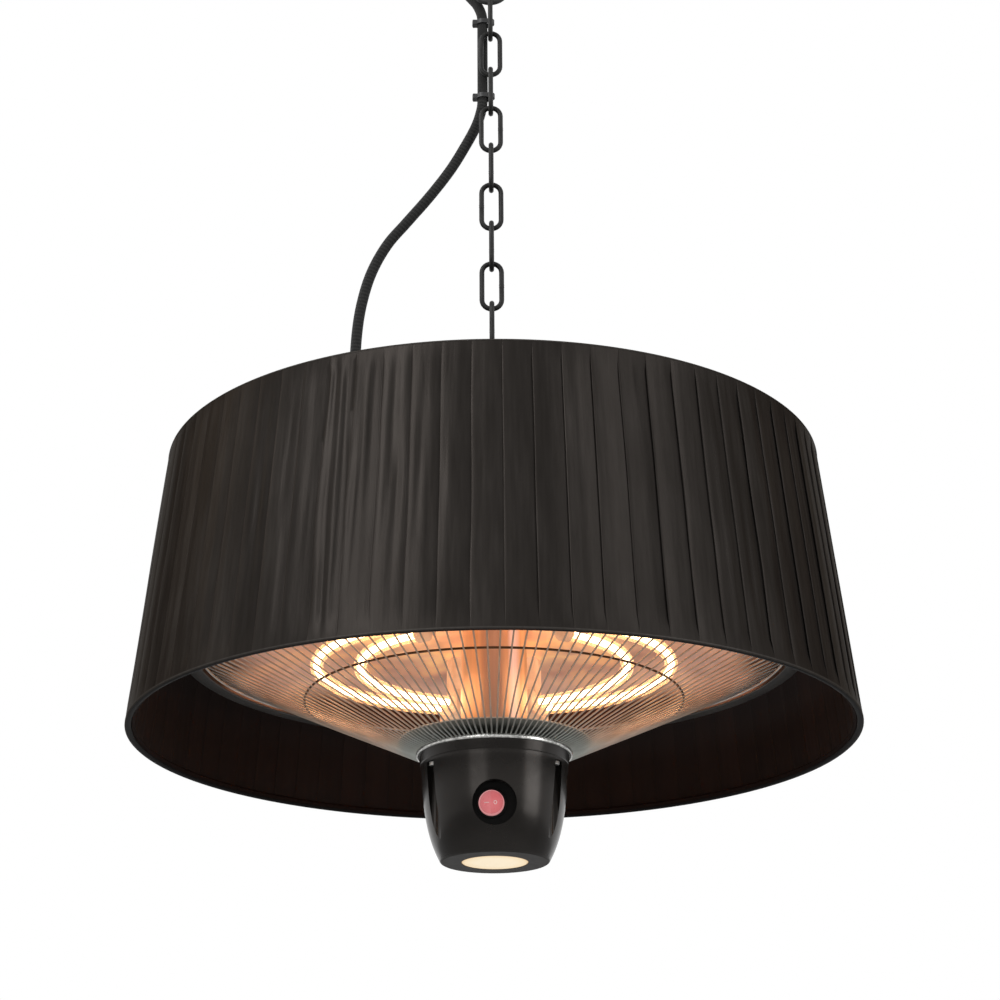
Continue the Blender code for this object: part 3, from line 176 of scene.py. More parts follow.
def levels(material, factor, low=0.0, high=1.0, start=0.0, end=1.0):
    """Stretches a factor that runs from start to end over a range of values."""
    inputs = {"Value": factor, "From Min": start, "From Max": end, "To Min": low, "To Max": high}
    return node(material, "MapRange", inputs).outputs["Result"]


def maths(material, operation, *values):
    """The result of one sum of numbers and sockets."""
    return node(material, "Math", dict(enumerate(values)), operation=operation).outputs["Value"]


def place(material, scale=(1, 1, 1), source="Object"):
    """The surface's own coordinates, scaled for a pattern."""
    coordinates = node(material, "TexCoord").outputs[source]
    return node(material, "Mapping", {"Vector": coordinates, "Scale": scale}).outputs["Vector"]


def axis_of(material, axis, scale=(1, 1, 1), source="Object"):
    """One of the surface's own coordinates."""
    return node(material, "SeparateXYZ", {"Vector": place(material, scale, source)}).outputs[axis]


def grain(material, scale, detail=4, stretch=(1, 1, 1), source="Object"):
    """A noise pattern, finer with a larger scale, drawn out by the stretch."""
    inputs = {"Vector": place(material, stretch, source), "Scale": scale, "Detail": detail}
    return node(material, "TexNoise", inputs).outputs["Fac"]


def relief(material, height, strength, depth, below=None):
    """A bump from a height pattern, over another bump if there is one."""
    inputs = {"Height": height, "Strength": strength, "Distance": depth}
    if below is not None:
        inputs["Normal"] = below
    link(material, node(material, "Bump", inputs).outputs["Normal"], "Normal")


def piece_from(bm, name, material, sharp=35):
    """Makes a bmesh an object of its own, shaded smooth up to an angle."""
    mesh = bpy.data.meshes.new(name)
    bm.to_mesh(mesh)
    bm.free()
    mesh.shade_smooth()
    mesh.set_sharp_from_angle(angle=math.radians(sharp))
    mesh.materials.append(material)
    piece = bpy.data.objects.new(name, mesh)
    bpy.context.scene.collection.objects.link(piece)
    return piece


def through(points, spacing):
    """Points at an even spacing along a smooth curve through the chosen ones."""
    points = [Vector(p) for p in points]
    points = [2 * points[0] - points[1], *points, 2 * points[-1] - points[-2]]
    fine = [points[1]]
    for p0, p1, p2, p3 in zip(points, points[1:], points[2:], points[3:]):
        for step in range(1, 25):
            t = step / 24
            bend = 2 * p0 - 5 * p1 + 4 * p2 - p3
            fine.append(0.5 * (2 * p1 + (p2 - p0) * t + bend * t**2 + (3 * p1 - p0 - 3 * p2 + p3) * t**3))
    reach = [0]
    for a, b in zip(fine, fine[1:]):
        reach.append(reach[-1] + (b - a).length)
    count = max(2, round(reach[-1] / spacing))
    even = []
    index = 0
    for step in range(count + 1):
        wanted = reach[-1] * step / count
        while index < len(fine) - 2 and reach[index + 1] < wanted:
            index += 1
        share = (wanted - reach[index]) / (reach[index + 1] - reach[index])
        even.append(fine[index].lerp(fine[index + 1], min(1, share)))
    return even


def rolled(path, radius, around, closed=False):
    """A flat sheet rolled into a tube along the path, with its own map: across the sheet
    runs round the tube, and along it runs from end to end."""
    bm = bmesh.new()
    bm.loops.layers.uv.new("UVMap")
    rows = len(path) if closed else len(path) - 1
    bmesh.ops.create_grid(bm, x_segments=around, y_segments=rows, size=0.5, calc_uvs=True)
    side = None
    frames = []
    for index, point in enumerate(path):
        before = path[index - 1] if index or closed else point
        after = path[(index + 1) % len(path)] if index < len(path) - 1 or closed else point
        along = (after - before).normalized()
        if side is None:
            side = along.orthogonal().normalized()
        side = (side - side.dot(along) * along).normalized()
        frames.append((point, side, along.cross(side)))
    for vert in bm.verts:
        angle = math.tau * (vert.co.x + 0.5)
        point, right, up = frames[round((vert.co.y + 0.5) * rows) % len(frames)]
        vert.co = point + radius * (math.cos(angle) * right + math.sin(angle) * up)
    bmesh.ops.remove_doubles(bm, verts=bm.verts, dist=0.000001)
    if not closed:
        bmesh.ops.holes_fill(bm, edges=bm.edges, sides=around)
    bmesh.ops.recalc_face_normals(bm, faces=bm.faces)
    return bm


CABLE_THICKNESS = 0.0096
LOWER_ROUTE = (
    (-0.1180, 0.0000, -0.6152),
    (-0.1182, 0.0000, -0.5902),
    (-0.1192, 0.0008, -0.5502),
    (-0.1205, 0.0020, -0.5050),
    (-0.1208, 0.0034, -0.4602),
    (-0.1195, 0.0048, -0.4198),
    (-0.1155, 0.0062, -0.3881),
    (-0.1075, 0.0074, -0.3578),
    (-0.0940, 0.0085, -0.3297),
    (-0.0765, 0.0094, -0.3064),
    (-0.0560, 0.0100, -0.2797),
    (-0.0374, 0.0105, -0.2524),
    (-0.0235, 0.0108, -0.2270),
    (-0.0135, 0.0108, -0.2059),
    (-0.0084, 0.0105, -0.1879),
    (-0.0075, 0.0105, -0.1760),
)
MIDDLE_ROUTE = (
    (-0.0075, 0.0105, -0.1757),
    (-0.0075, 0.0105, -0.1359),
    (-0.0075, 0.0105, -0.0960),
)
TOP_ROUTE = (
    (-0.0075, 0.0105, -0.0957),
    (-0.0075, 0.0105, -0.0926),
    (-0.0084, 0.0108, -0.0851),
    (-0.0125, 0.0124, -0.0740),
    (-0.0184, 0.0148, -0.0647),
    (-0.0244, 0.0171, -0.0553),
    (-0.0285, 0.0187, -0.0442),
    (-0.0294, 0.0191, -0.0367),
    (-0.0294, 0.0191, -0.0336),
)

braid = finish("black_textile_braid", Specular_IOR_Level=0.14, Sheen_Weight=0.08)
across_lead = axis_of(braid, "X", source="UV")
along_lead = axis_of(braid, "Y", source="UV")
strands = []
for turn in (-1, 1):
    slant = maths(braid, "MULTIPLY", along_lead, 420.0 * turn)
    wound = maths(braid, "MULTIPLY_ADD", across_lead, 88.0, slant)
    strands.append(maths(braid, "SINE", wound))
crossing = levels(braid, maths(braid, "MULTIPLY", *strands), start=-1.0)
strand_tones = ((0.0, (0.004, 0.004, 0.004)), (0.55, (0.014, 0.014, 0.014)), (1.0, (0.034, 0.033, 0.031)))
link(braid, shades(braid, crossing, *strand_tones), "Base Color")
link(braid, levels(braid, grain(braid, 900), 0.5, 0.8), "Roughness")
relief(braid, crossing, 0.45, 0.0006)

stretches = (
    ("lead_lower", LOWER_ROUTE, "power_cable_lower", "chain", "heater", (15, 0), "cable_tie_lower"),
    ("lead_middle", MIDDLE_ROUTE, "power_cable_middle", "upper_link", "chain", (2, 0), "cable_tie_upper"),
    ("lead_top", TOP_ROUTE, "power_cable_top", "ceiling_mount", "upper_link", (8, 0), None),
)
for name, route, solid, upper_body, lower_body, ends, tie in stretches:
    path = through(route, 0.005)
    lead = piece_from(rolled(path, CABLE_THICKNESS / 2, 24), name, braid)
    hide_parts(solid)
    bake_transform(lead)

# Cable ties and their finish: moulded black nylon with a fine grain. They are drawn tight
# round the lead and the rear leg of an edge-on link.
def surface(name, colour, rough, bump, metallic=0.0, **sockets):
    """A finish made of noise. Colour, rough and bump each start with the noise's scale and
    detail. Stops follow for the colour, a low and a high, and a strength and a depth."""
    material = finish(name, metallic, **sockets)
    link(material, shades(material, grain(material, *colour[:2]), *colour[2:]), "Base Color")
    link(material, levels(material, grain(material, *rough[:2]), *rough[2:]), "Roughness")
    relief(material, grain(material, *bump[:2]), *bump[2:])
    return material


nylon = surface(
    "black_nylon",
    (60, 4, (0.2, (0.010, 0.010, 0.011)), (0.8, (0.020, 0.020, 0.021))),
    (500, 2, 0.38, 0.58),
    (2600, 2, 0.15, 0.0002),
)


def dress(node_name, material):
    """Gives a CAD node a finish of the scene's own."""
    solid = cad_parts[node_name]
    for slot_index in range(len(solid.material_slots)):
        solid.material_slots[slot_index].material = material


dress("cable_tie_upper", nylon)
dress("cable_tie_lower", nylon)


# Glands: moulded nylon, screwed through the hood and the ceiling plate, each with a
# tapered ribbed relief that keeps the lead from kinking.
def spun(outline, steps=96):
    """Turns (radius, height) points about the heater's axis. Points on the axis close it."""
    bm = bmesh.new()
    verts = [bm.verts.new((radius, 0, height)) for radius, height in outline]
    edges = [bm.edges.new(pair) for pair in zip(verts, verts[1:])]
    if outline[0][0] > 0:
        edges.append(bm.edges.new((verts[-1], verts[0])))
    bmesh.ops.spin(
        bm, geom=verts + edges, cent=(0, 0, 0), axis=(0, 0, 1), angle=math.tau, steps=steps, use_merge=True
    )
    bmesh.ops.remove_doubles(bm, verts=bm.verts, dist=0.000001)
    bmesh.ops.recalc_face_normals(bm, faces=bm.faces)
    return bm


def set_down(bm, spot, turn):
    """Turns a bmesh about the origin, then moves it to its spot."""
    bmesh.ops.rotate(bm, verts=bm.verts, cent=(0, 0, 0), matrix=turn)
    bmesh.ops.translate(bm, verts=bm.verts, vec=spot)


def take_over(piece, node_name, body="heater"):
    """Has a piece ride on its body in place of a CAD node."""
    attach(piece, body)
    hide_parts(node_name)


def gland_outline(taper, neck):
    """From the relief's tip to the foot of its neck, with a rib every few millimetres."""
    outline = [(0, 0.0063 + taper), (0.0054, 0.0063 + taper), (0.0062, 0.0058 + taper)]
    ribs = round(taper / 0.004)
    for rib in range(ribs):
        top = 0.0063 + taper * (1 - rib / ribs)
        wide = 0.0062 + 0.0030 * rib / ribs
        outline += [(wide, top - 0.0008), (wide + 0.0002, top - 0.0022), (wide - 0.0007, top - 0.0028)]
        outline += [(wide - 0.0007, top - 0.0034)]
    outline += [(0.0092, 0.0063), (0.0112, 0.0063), (0.0120, 0.0055), (0.0120, 0.0003)]
    outline += [(0.0075, 0.0003), (0.0075, -neck), (0, -neck)]
    return outline


HOOD_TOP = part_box("hood")[1][2]
GLAND_X = -0.118
ceiling_hole = (-0.02935, 0.01906, -0.005)
for name, taper, neck, turn, spot, solid, body in (
    ("hood_gland", 0.040, 0.0065, 0, (GLAND_X, 0, HOOD_TOP), "cable_gland", "heater"),
    ("ceiling_lead_gland", 0.022, 0.0047, math.pi, ceiling_hole, "ceiling_gland", "ceiling_mount"),
):
    gland_bm = spun(gland_outline(taper, neck), 48)
    set_down(gland_bm, spot, Matrix.Rotation(turn, 3, "X"))
    take_over(piece_from(gland_bm, name, nylon, 50), solid, body)
dress("gland_nut", nylon)

# Ceiling plate: a turned steel disc with a boss, coated satin black. The coating's fine
# orange peel catches the light.
coating = surface(
    "satin_black_coating",
    (45, 4, (0.25, (0.012, 0.012, 0.013)), (0.75, (0.026, 0.026, 0.027))),
    (220, 3, 0.30, 0.52),
    (1400, 2, 0.12, 0.0003),
)


def softened(piece, width, segments=2, limit=40):
    """Breaks the edges that are sharper than a limit by a fine bevel."""
    bevel = piece.modifiers.new("soft_edges", "BEVEL")
    bevel.width = width
    bevel.segments = segments
    bevel.limit_method = "ANGLE"
    bevel.angle_limit = math.radians(limit)


def smooth_copy(node_name, material, name, bevel, body="heater"):
    """A CAD node's own shape with its triangles merged, its curves shaded smooth and its
    edges broken."""
    bm = bmesh.new()
    bm.from_mesh(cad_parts[node_name].data)
    bmesh.ops.remove_doubles(bm, verts=bm.verts, dist=0.000005)
    bmesh.ops.dissolve_limit(
        bm, angle_limit=math.radians(0.5), verts=bm.verts, edges=bm.edges, use_dissolve_boundaries=False
    )
    piece = piece_from(bm, name, material, 30)
    softened(piece, bevel)
    take_over(piece, node_name, body)
    return piece


smooth_copy("ceiling_plate", coating, "ceiling_disc", 0.0006, "ceiling_mount")

# Ceiling hook: a 6 mm steel bar bent to a round hook and screwed into the boss, with a
# plated lock nut.
HOOK_BOTTOM = -0.079
HOOK_BEND = 0.016
NECK_BEND = 0.008
hook_middle = HOOK_BOTTOM + HOOK_BEND
neck_height = hook_middle + math.sqrt((HOOK_BEND + NECK_BEND) ** 2 - NECK_BEND**2)
neck_turn = math.atan2(neck_height - hook_middle, NECK_BEND)
hook_path = [Vector((0, 0, -0.0072)), Vector((0, 0, -0.025))]
for step in range(1, 13):
    angle = math.pi + neck_turn * step / 12
    side = NECK_BEND + NECK_BEND * math.cos(angle)
    hook_path.append(Vector((side, 0, neck_height + NECK_BEND * math.sin(angle))))
hook_turn = math.radians(160 - 360) - neck_turn
for step in range(1, 37):
    angle = neck_turn + hook_turn * step / 36
    hook_path.append(Vector((HOOK_BEND * math.cos(angle), 0, hook_middle + HOOK_BEND * math.sin(angle))))
hook = piece_from(rolled(hook_path, 0.003, 20), "steel_hook", coating)
take_over(hook, "ceiling_hook", "ceiling_mount")

zinc = surface(
    "bright_zinc",
    (120, 4, (0.3, (0.46, 0.46, 0.45)), (0.7, (0.66, 0.65, 0.62))),
    (400, 2, 0.26, 0.46),
    (1500, 2, 0.1, 0.0002),
    1.0,
)
smooth_copy("hook_nut", zinc, "hook_lock_nut", 0.0004, "ceiling_mount")

# Chain: welded links of 4.5 mm steel wire, coated black. Each is bent to a long round
# and welded in the middle of one leg, and every other one is turned a quarter.
chain_black = surface(
    "black_chain_coating",
    (90, 4, (0.25, (0.010, 0.010, 0.010)), (0.8, (0.030, 0.029, 0.028))),
    (260, 3, 0.28, 0.5),
    (700, 3, 0.25, 0.0004),
    Specular_IOR_Level=0.16,
)


def sorted_out(geom):
    """The verts, then the edges, of what an operator made."""
    kinds = (bmesh.types.BMVert, bmesh.types.BMEdge)
    return [[item for item in geom if isinstance(item, kind)] for kind in kinds]


LINK_WIRE = 0.00225
LINK_BEND = 0.011 - LINK_WIRE
LINK_REACH = 0.0403 / 2 + LINK_WIRE - LINK_BEND
link_bm = bmesh.new()
section = bmesh.ops.create_circle(link_bm, segments=16, radius=LINK_WIRE)["verts"]
bmesh.ops.translate(link_bm, verts=section, vec=(LINK_BEND, 0, -LINK_REACH))
ring = link_bm.edges[:]
welds = ((-0.0016, 1.0), (-0.0010, 1.10), (-0.0004, 1.0), (0.0004, 1.0), (0.0010, 1.10), (0.0016, 1.0))
thick_before = 1.0
for height, thick in (*welds, (LINK_REACH, 1.0)):
    section, ring = sorted_out(bmesh.ops.extrude_edge_only(link_bm, edges=ring)["geom"])
    bmesh.ops.translate(link_bm, verts=section, vec=(0, 0, height - section[0].co.z))
    swell = Matrix.Diagonal((thick / thick_before, thick / thick_before, 1, 1))
    bmesh.ops.transform(link_bm, verts=section, matrix=swell, space=Matrix.Translation((-LINK_BEND, 0, 0)))
    thick_before = thick
for middle in (LINK_REACH, -LINK_REACH):
    turned = bmesh.ops.spin(
        link_bm, geom=section + ring, cent=(0, 0, middle), axis=(0, -1, 0), angle=math.pi, steps=12
    )["geom_last"]
    section, ring = sorted_out(turned)
    if middle > 0:
        section, ring = sorted_out(bmesh.ops.extrude_edge_only(link_bm, edges=ring)["geom"])
        bmesh.ops.translate(link_bm, verts=section, vec=(0, 0, -2 * LINK_REACH))
bmesh.ops.remove_doubles(link_bm, verts=link_bm.verts, dist=0.00002)
bmesh.ops.recalc_face_normals(link_bm, faces=link_bm.faces)
for number in range(1, 14):
    solid = f"chain_link_{number:02d}"
    low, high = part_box(solid)
    turn = Matrix.Rotation(math.pi / 2 if number % 2 else math.pi * (number % 4 // 2), 4, "Z")
    one = link_bm.copy()
    middle = Matrix.Translation((0, 0, (low[2] + high[2]) / 2))
    bmesh.ops.transform(one, verts=one.verts, matrix=middle @ turn)
    steel_link = piece_from(one, f"steel_link_{number:02d}", chain_black, 60)
    take_over(steel_link, solid, "upper_link" if number == 1 else "chain")
link_bm.free()

# Eye nut: a forged ring on a threaded collar, coated black like the chain. It screws
# onto the tie rod and clamps the whole stack below it.
def heights(node_name):
    """The bottom and the top of a CAD node."""
    return [corner[2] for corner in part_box(node_name)]


def raised(outline, height):
    """An outline whose heights are given from one height."""
    return [(radius, height + up) for radius, up in outline]


ROD_HOLE = 0.0053
EYE_BEND = 0.0145
eye_low, eye_high = heights("eye_nut")
eye_middle = eye_high - 0.018
eye_path = []
for step in range(64):
    angle = math.tau * step / 64
    eye_path.append(Vector((EYE_BEND * math.cos(angle), 0, eye_middle + EYE_BEND * math.sin(angle))))
eye_ring = piece_from(rolled(eye_path, 0.0035, 20, closed=True), "eye_ring", coating)
eye_outline = [(ROD_HOLE, 0), (0.0106, 0), (0.0110, 0.0006), (0.0110, 0.0064), (0.0104, 0.0076)]
eye_outline += [(0.0086, 0.0098), (0.0072, 0.0118), (0.0062, 0.0132), (ROD_HOLE, 0.0134)]
eye_collar = piece_from(spun(raised(eye_outline, eye_low), 48), "eye_collar", coating)
for part in (eye_ring, eye_collar):
    take_over(part, "eye_nut")

# Tie rod, spacers and nut: plated and coated steel turned parts that thread the spider,
# the hood, the reflector, the shield and the cup onto one rod.
smooth_copy("tie_rod", zinc, "threaded_rod", 0.0005)
smooth_copy("outer_spacer", coating, "hood_spacer", 0.0005)
smooth_copy("inner_spacer", zinc, "reflector_spacer", 0.0005)
smooth_copy("cup_nut", zinc, "cup_lock_nut", 0.0004)

# Shade frame: two 4.4 mm wire rings sewn into the cover's hems, and a dropped spider of
# flat steel arms that carries the upper ring. The rings are bound with dark tape, the
# spider is coated black.
ring_cloth = surface(
    "dark_ring_binding",
    (400, 3, (0.3, (0.0052, 0.0022, 0.0015)), (0.7, (0.0115, 0.0052, 0.0036))),
    (900, 3, 0.7, 0.9),
    (1500, 3, 0.2, 0.0003),
    Specular_IOR_Level=0.05,
)
dress("shade_top_ring", ring_cloth)
dress("shade_bottom_ring", ring_cloth)
smooth_copy("shade_spider", coating, "dropped_spider", 0.0005)

# Pleated cover: 78 satin ribbons laid side by side, each with its left edge folded over
# the one before and its right edge tucked under the next, then puckered into the hems.
random.seed(11)
PLEATS = 78
SHADE_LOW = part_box("shade_fabric")[0][2]
SHADE_TALL = 0.232
SHADE_WIDE = 0.300
SHADE_TAPER = 0.024
PLEAT_PHASE = 0.33
CLOTH = 0.0004
ribbon_columns = (
    *((0.000, -0.00010, 0.60), (0.000, -0.00016, 0.22), (0.000, 0.00012, 0.08), (0.025, 0.0, 0.02)),
    *((0.060, 0.0, 0.00), (0.130, 0.0, 0.02), (0.220, 0.0, 0.05), (0.310, 0.0, 0.09), (0.400, 0.0, 0.14)),
    *((0.490, 0.0, 0.21), (0.580, 0.0, 0.29), (0.670, 0.0, 0.39), (0.770, 0.0, 0.52), (0.880, 0.0, 0.71)),
    (1.000, 0.00080, 1.00),
)
ribbon_folds = []
for number in range(PLEATS):
    crinkled = math.exp(-(((number - 73) / 4.2) ** 2)) + 0.9 * math.exp(-(((number - 8.2) / 2.3) ** 2))
    crinkled += 0.35 * noise.noise(Vector((number * 0.23, 3.1, 0.0)))
    crinkled = max(0.15, min(1.0, crinkled))
    creases = [
        {
            "share": random.uniform(0.15, 0.85),
            "wide": random.uniform(0.08, 0.16),
            "slant": random.uniform(-0.35, 0.35),
            "middle": random.uniform(0.25, 0.95),
            "tall": random.uniform(0.12, 0.40),
            "depth": random.choice((-1, -1, 1)) * random.uniform(0.0005, 0.0014) * crinkled,
        }
        for _ in range(random.choice((1, 2, 2)) + round(1.6 * crinkled))
    ]
    ribbon_folds.append(
        {
            "depth": random.uniform(0.0012, 0.0019),
            "lean": random.uniform(-0.00045, 0.00045),
            "belly": random.uniform(-0.0002, 0.0008),
            "waves": random.choice((0, 0, 1, 1, 2)),
            "wave": random.uniform(0.0001, 0.00045) * (0.4 + crinkled),
            "drift": random.uniform(-0.0010, 0.0010) * (0.35 + crinkled),
            "tuck": random.uniform(0.006, 0.018),
            "creases": creases,
        }
    )


def around(radius, angle, height):
    """A point at an angle round the heater's axis."""
    return Vector((radius * math.cos(angle), radius * math.sin(angle), height))


def ribbon_point(number, share, nudge, sink, height):
    """Where a ribbon's cloth lies: share across it, sunk by its lap, at a share of the
    height. Waves and creases make it uneven, and it lies flat at the hems."""
    fold = ribbon_folds[number % PLEATS]
    after = ribbon_folds[(number + 1) % PLEATS]
    wide = SHADE_WIDE - SHADE_TAPER * height
    hem = max(0.0, min(1.0, (min(height, 1 - height) - 0.5 * fold["tuck"]) / 0.070))
    hem = hem * hem * (3 - 2 * hem)
    drift = fold["drift"] * (1 - share) + after["drift"] * share
    drift *= noise.noise(Vector((number * 2.7, height * 2.6, 0.3))) * 2
    ripple = noise.noise(Vector((number * 5.1 + share * 2.2, height * 2.6, 1.7)))
    ripple += 0.5 * noise.noise(Vector((number * 3.3 + share * 5.0, height * 5.0, 4.1)))
    bulge = 0.6 + 0.8 * noise.noise(Vector((number * 1.9, height * 1.7, 7)))
    swell = fold["belly"] * math.sin(math.pi * share) * bulge
    swell += fold["wave"] * ripple * math.sin(math.pi * min(1, share * 1.15))
    wave = fold["wave"] * math.sin(math.tau * fold["waves"] * share + height * 2)
    swell += wave * math.sin(math.pi * share)
    for crease in fold["creases"]:
        off = share - crease["share"] - crease["slant"] * (height - crease["middle"])
        run = (height - crease["middle"]) / crease["tall"]
        fade = math.exp(-((off / crease["wide"]) ** 2) - run * run)
        swell += crease["depth"] * fade * math.sin(math.pi * share) ** 0.5
    lean = fold["lean"] * (share - 0.5) * math.sin(math.pi * share)
    radius = wide - 0.0001 + hem * (-fold["depth"] * sink + swell + lean)
    angle = math.tau * (number + share + PLEAT_PHASE) / PLEATS + (nudge + drift) * hem / wide - math.pi / 2
    return around(radius, angle, SHADE_LOW + CLOTH + (SHADE_TALL - 2 * CLOTH) * height)


def pleated(columns, rows, point):
    """A flat sheet wrapped round the shade, ribbon by ribbon, with its map kept. The first
    and the last row inside lie close to the ends, so that the cloth's edges shade cleanly."""
    bm = bmesh.new()
    bm.loops.layers.uv.new("UVMap")
    across = len(columns) * PLEATS
    bmesh.ops.create_grid(bm, x_segments=across, y_segments=rows, size=0.5, calc_uvs=True)
    for vert in bm.verts:
        number, index = divmod(round((vert.co.x + 0.5) * across) % across, len(columns))
        row = round((vert.co.y + 0.5) * rows)
        height = 0.003 + 0.994 * (row - 1) / (rows - 2)
        if row in (0, rows):
            height = row / rows
        vert.co = point(number, *columns[index], height)
    bmesh.ops.remove_doubles(bm, verts=bm.verts, dist=0.0000005)
    return bm


def walled(piece):
    """Gives a sheet the thickness of the cloth, inwards."""
    wall = piece.modifiers.new("cloth_wall", "SOLIDIFY")
    wall.thickness = CLOTH
    wall.offset = -1


def blended(material, share, one, other, kind="MIX"):
    """Two colour patterns mixed by a share."""
    inputs = {0: share, 6: one, 7: other}
    return node(material, "Mix", inputs, data_type="RGBA", blend_type=kind).outputs[2]


def tinted(material, one, other):
    """One colour pattern multiplied by another."""
    return blended(material, 1.0, one, other, "MULTIPLY")


satin_gloss = {"Specular_IOR_Level": 0.0, "Specular_Tint": (0.40, 0.385, 0.365, 1)}
satin = finish("charcoal_satin", 0.52, **satin_gloss)
weave_map = place(satin, (PLEATS * 40, 510.4, 1), "UV")
warp = node(satin, "TexWave", {"Vector": weave_map, "Scale": 0.32, "Distortion": 0.6}, bands_direction="X")
slub = grain(satin, 1.0, 5, (PLEATS * 9, 5, 1), "UV")
cloud = grain(satin, 1.0, 3, (PLEATS * 0.9, 2.2, 1), "UV")
ribbon_run = axis_of(satin, "X", (PLEATS, 1, 1), "UV")
ribbon_number = maths(satin, "FLOOR", ribbon_run)
ribbon_tone = node(satin, "TexWhiteNoise", {"W": ribbon_number}, noise_dimensions="1D").outputs["Value"]
# Painted shade: each ribbon is darkened towards its tucked right edge. The ribbons also differ in tone at
# random.
lap_painted_shade = ((0.20, (1.0, 1.0, 1.0)), (0.36, (0.90, 0.90, 0.90)), (0.95, (0.80, 0.80, 0.80)))
ribbon_tone_and_painted_shade = tinted(
    satin,
    shades(satin, ribbon_tone, (0.0, (0.80, 0.80, 0.80)), (1.0, (1.0, 1.0, 1.0))),
    shades(satin, maths(satin, "FRACT", ribbon_run), *lap_painted_shade),
)
satin_colour = shades(
    satin,
    maths(satin, "MULTIPLY", slub, cloud),
    (0.08, (0.0250, 0.0219, 0.0197)),
    (0.26, (0.0320, 0.0282, 0.0256)),
    (0.48, (0.0420, 0.0372, 0.0338)),
)
link(satin, tinted(satin, satin_colour, ribbon_tone_and_painted_shade), "Base Color")
link(satin, levels(satin, slub, 0.28, 0.46), "Roughness")
weave_bump = node(satin, "Bump", {"Height": warp.outputs["Fac"], "Strength": 0.10, "Distance": 0.0002})
relief(satin, slub, 0.30, 0.0005, weave_bump.outputs["Normal"])

cover = piece_from(pleated(ribbon_columns, 34, ribbon_point), "pleated_cover", satin, 50)
walled(cover)
take_over(cover, "shade_fabric")

# Lining: the same kind of ribbon in a very dark red-brown, laid flat inside the frame
# with a narrow seam at each lap.
lining = finish("brown_lining", Specular_IOR_Level=0.12)
seam = maths(lining, "FRACT", axis_of(lining, "X", (PLEATS, 1, 1), "UV"))
strip_tone = grain(lining, 1.0, 2, (PLEATS * 0.8, 0.6, 1), "UV")
lining_colour = shades(lining, strip_tone, (0.3, (0.0040, 0.0013, 0.0007)), (0.7, (0.0090, 0.0034, 0.0021)))
stitched, plain = (0.15, 0.15, 0.15), (1, 1, 1)
seam_line = shades(lining, seam, (0.0, stitched), (0.05, plain), (0.95, plain), (1.0, stitched))
link(lining, tinted(lining, lining_colour, seam_line), "Base Color")
link(lining, levels(lining, grain(lining, 1.0, 4, (PLEATS * 8, 6, 1), "UV"), 0.5, 0.75), "Roughness")
relief(lining, grain(lining, 1.0, 5, (PLEATS * 9, 5, 1), "UV"), 0.25, 0.0004)

lining_columns = (
    *((0.00, 0.0, 0.0), (0.03, 0.0, 0.55), (0.08, 0.0, 0.85), (0.25, 0.0, 1.0)),
    *((0.45, 0.0, 0.95), (0.65, 0.0, 0.8), (0.85, 0.0, 0.55), (0.97, 0.0, 0.2)),
)


def lining_point(number, share, nudge, raise_in, height):
    """The lining's cloth, which stands in from the frame by its lap."""
    share_up = 0.008 + 0.984 * height
    wide = SHADE_WIDE - SHADE_TAPER * share_up - 0.0036
    lap = 0.0006 * raise_in * (0.7 + 25 * ribbon_folds[number % PLEATS]["tuck"])
    angle = math.tau * (number + share + PLEAT_PHASE) / PLEATS - math.pi / 2
    return around(wide - lap, angle, SHADE_LOW + SHADE_TALL * share_up)


lining_cloth = piece_from(pleated(lining_columns, 16, lining_point), "ribbon_lining", lining, 50)
walled(lining_cloth)
take_over(lining_cloth, "shade_liner")

# Hems: a folded tape of the cover's satin, drawn over each wire ring and stitched down
# inside and out.
hem_satin = finish("hem_satin", 0.52, **satin_gloss)
hem_tone = grain(hem_satin, 300, 4, (1, 1, 0.3))
hem_colour = shades(hem_satin, hem_tone, (0.25, (0.040, 0.036, 0.033)), (0.75, (0.055, 0.050, 0.046)))
link(hem_satin, hem_colour, "Base Color")
link(hem_satin, levels(hem_satin, grain(hem_satin, 700, 3), 0.34, 0.52), "Roughness")
relief(hem_satin, grain(hem_satin, 1200, 3), 0.2, 0.0003)
for name, edge, inside in (("bottom_hem", 0.0, 1), ("top_hem", 1.0, -1)):
    wide = SHADE_WIDE - SHADE_TAPER * edge
    height = SHADE_LOW + SHADE_TALL * edge
    slope = -SHADE_TAPER / SHADE_TALL
    deep = 0.0012 * inside
    out = wide + 0.0001
    into = wide - 0.0052
    hem_bm = spun(
        [
            (out + slope * deep, height + deep),
            (out - 0.0001, height + 0.0003 * inside),
            (wide - 0.0008, height - 0.0004 * inside),
            (wide - 0.0024, height - 0.0007 * inside),
            (into + 0.0007, height - 0.0003 * inside),
            (into, height + 0.0006 * inside),
            (into, height + 0.0054 * inside),
            (into + 0.0004, height + 0.0054 * inside),
            (into + 0.0006, height + 0.0012 * inside),
            (wide - 0.0024, height - 0.0001 * inside),
            (wide - 0.0010, height + 0.0006 * inside),
            (out - 0.0005 + slope * deep, height + deep),
        ],
        312,
    )
    hem = piece_from(hem_bm, name, hem_satin, 50)
    hem.data.materials.append(lining)
    for face in hem.data.polygons:
        if math.hypot(*face.center[:2]) < wide - 0.0012:
            face.material_index = 1
    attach(hem, "heater")

# Hood: pressed steel painted dark grey, with a rolled lip that holds the reflector's
# flange. Its rim shows as the grey ring round the grille.
grey_paint = surface(
    "dark_grey_paint",
    (30, 4, (0.3, (0.034, 0.032, 0.030)), (0.7, (0.052, 0.049, 0.046))),
    (240, 3, 0.42, 0.6),
    (1100, 2, 0.15, 0.0003),
)


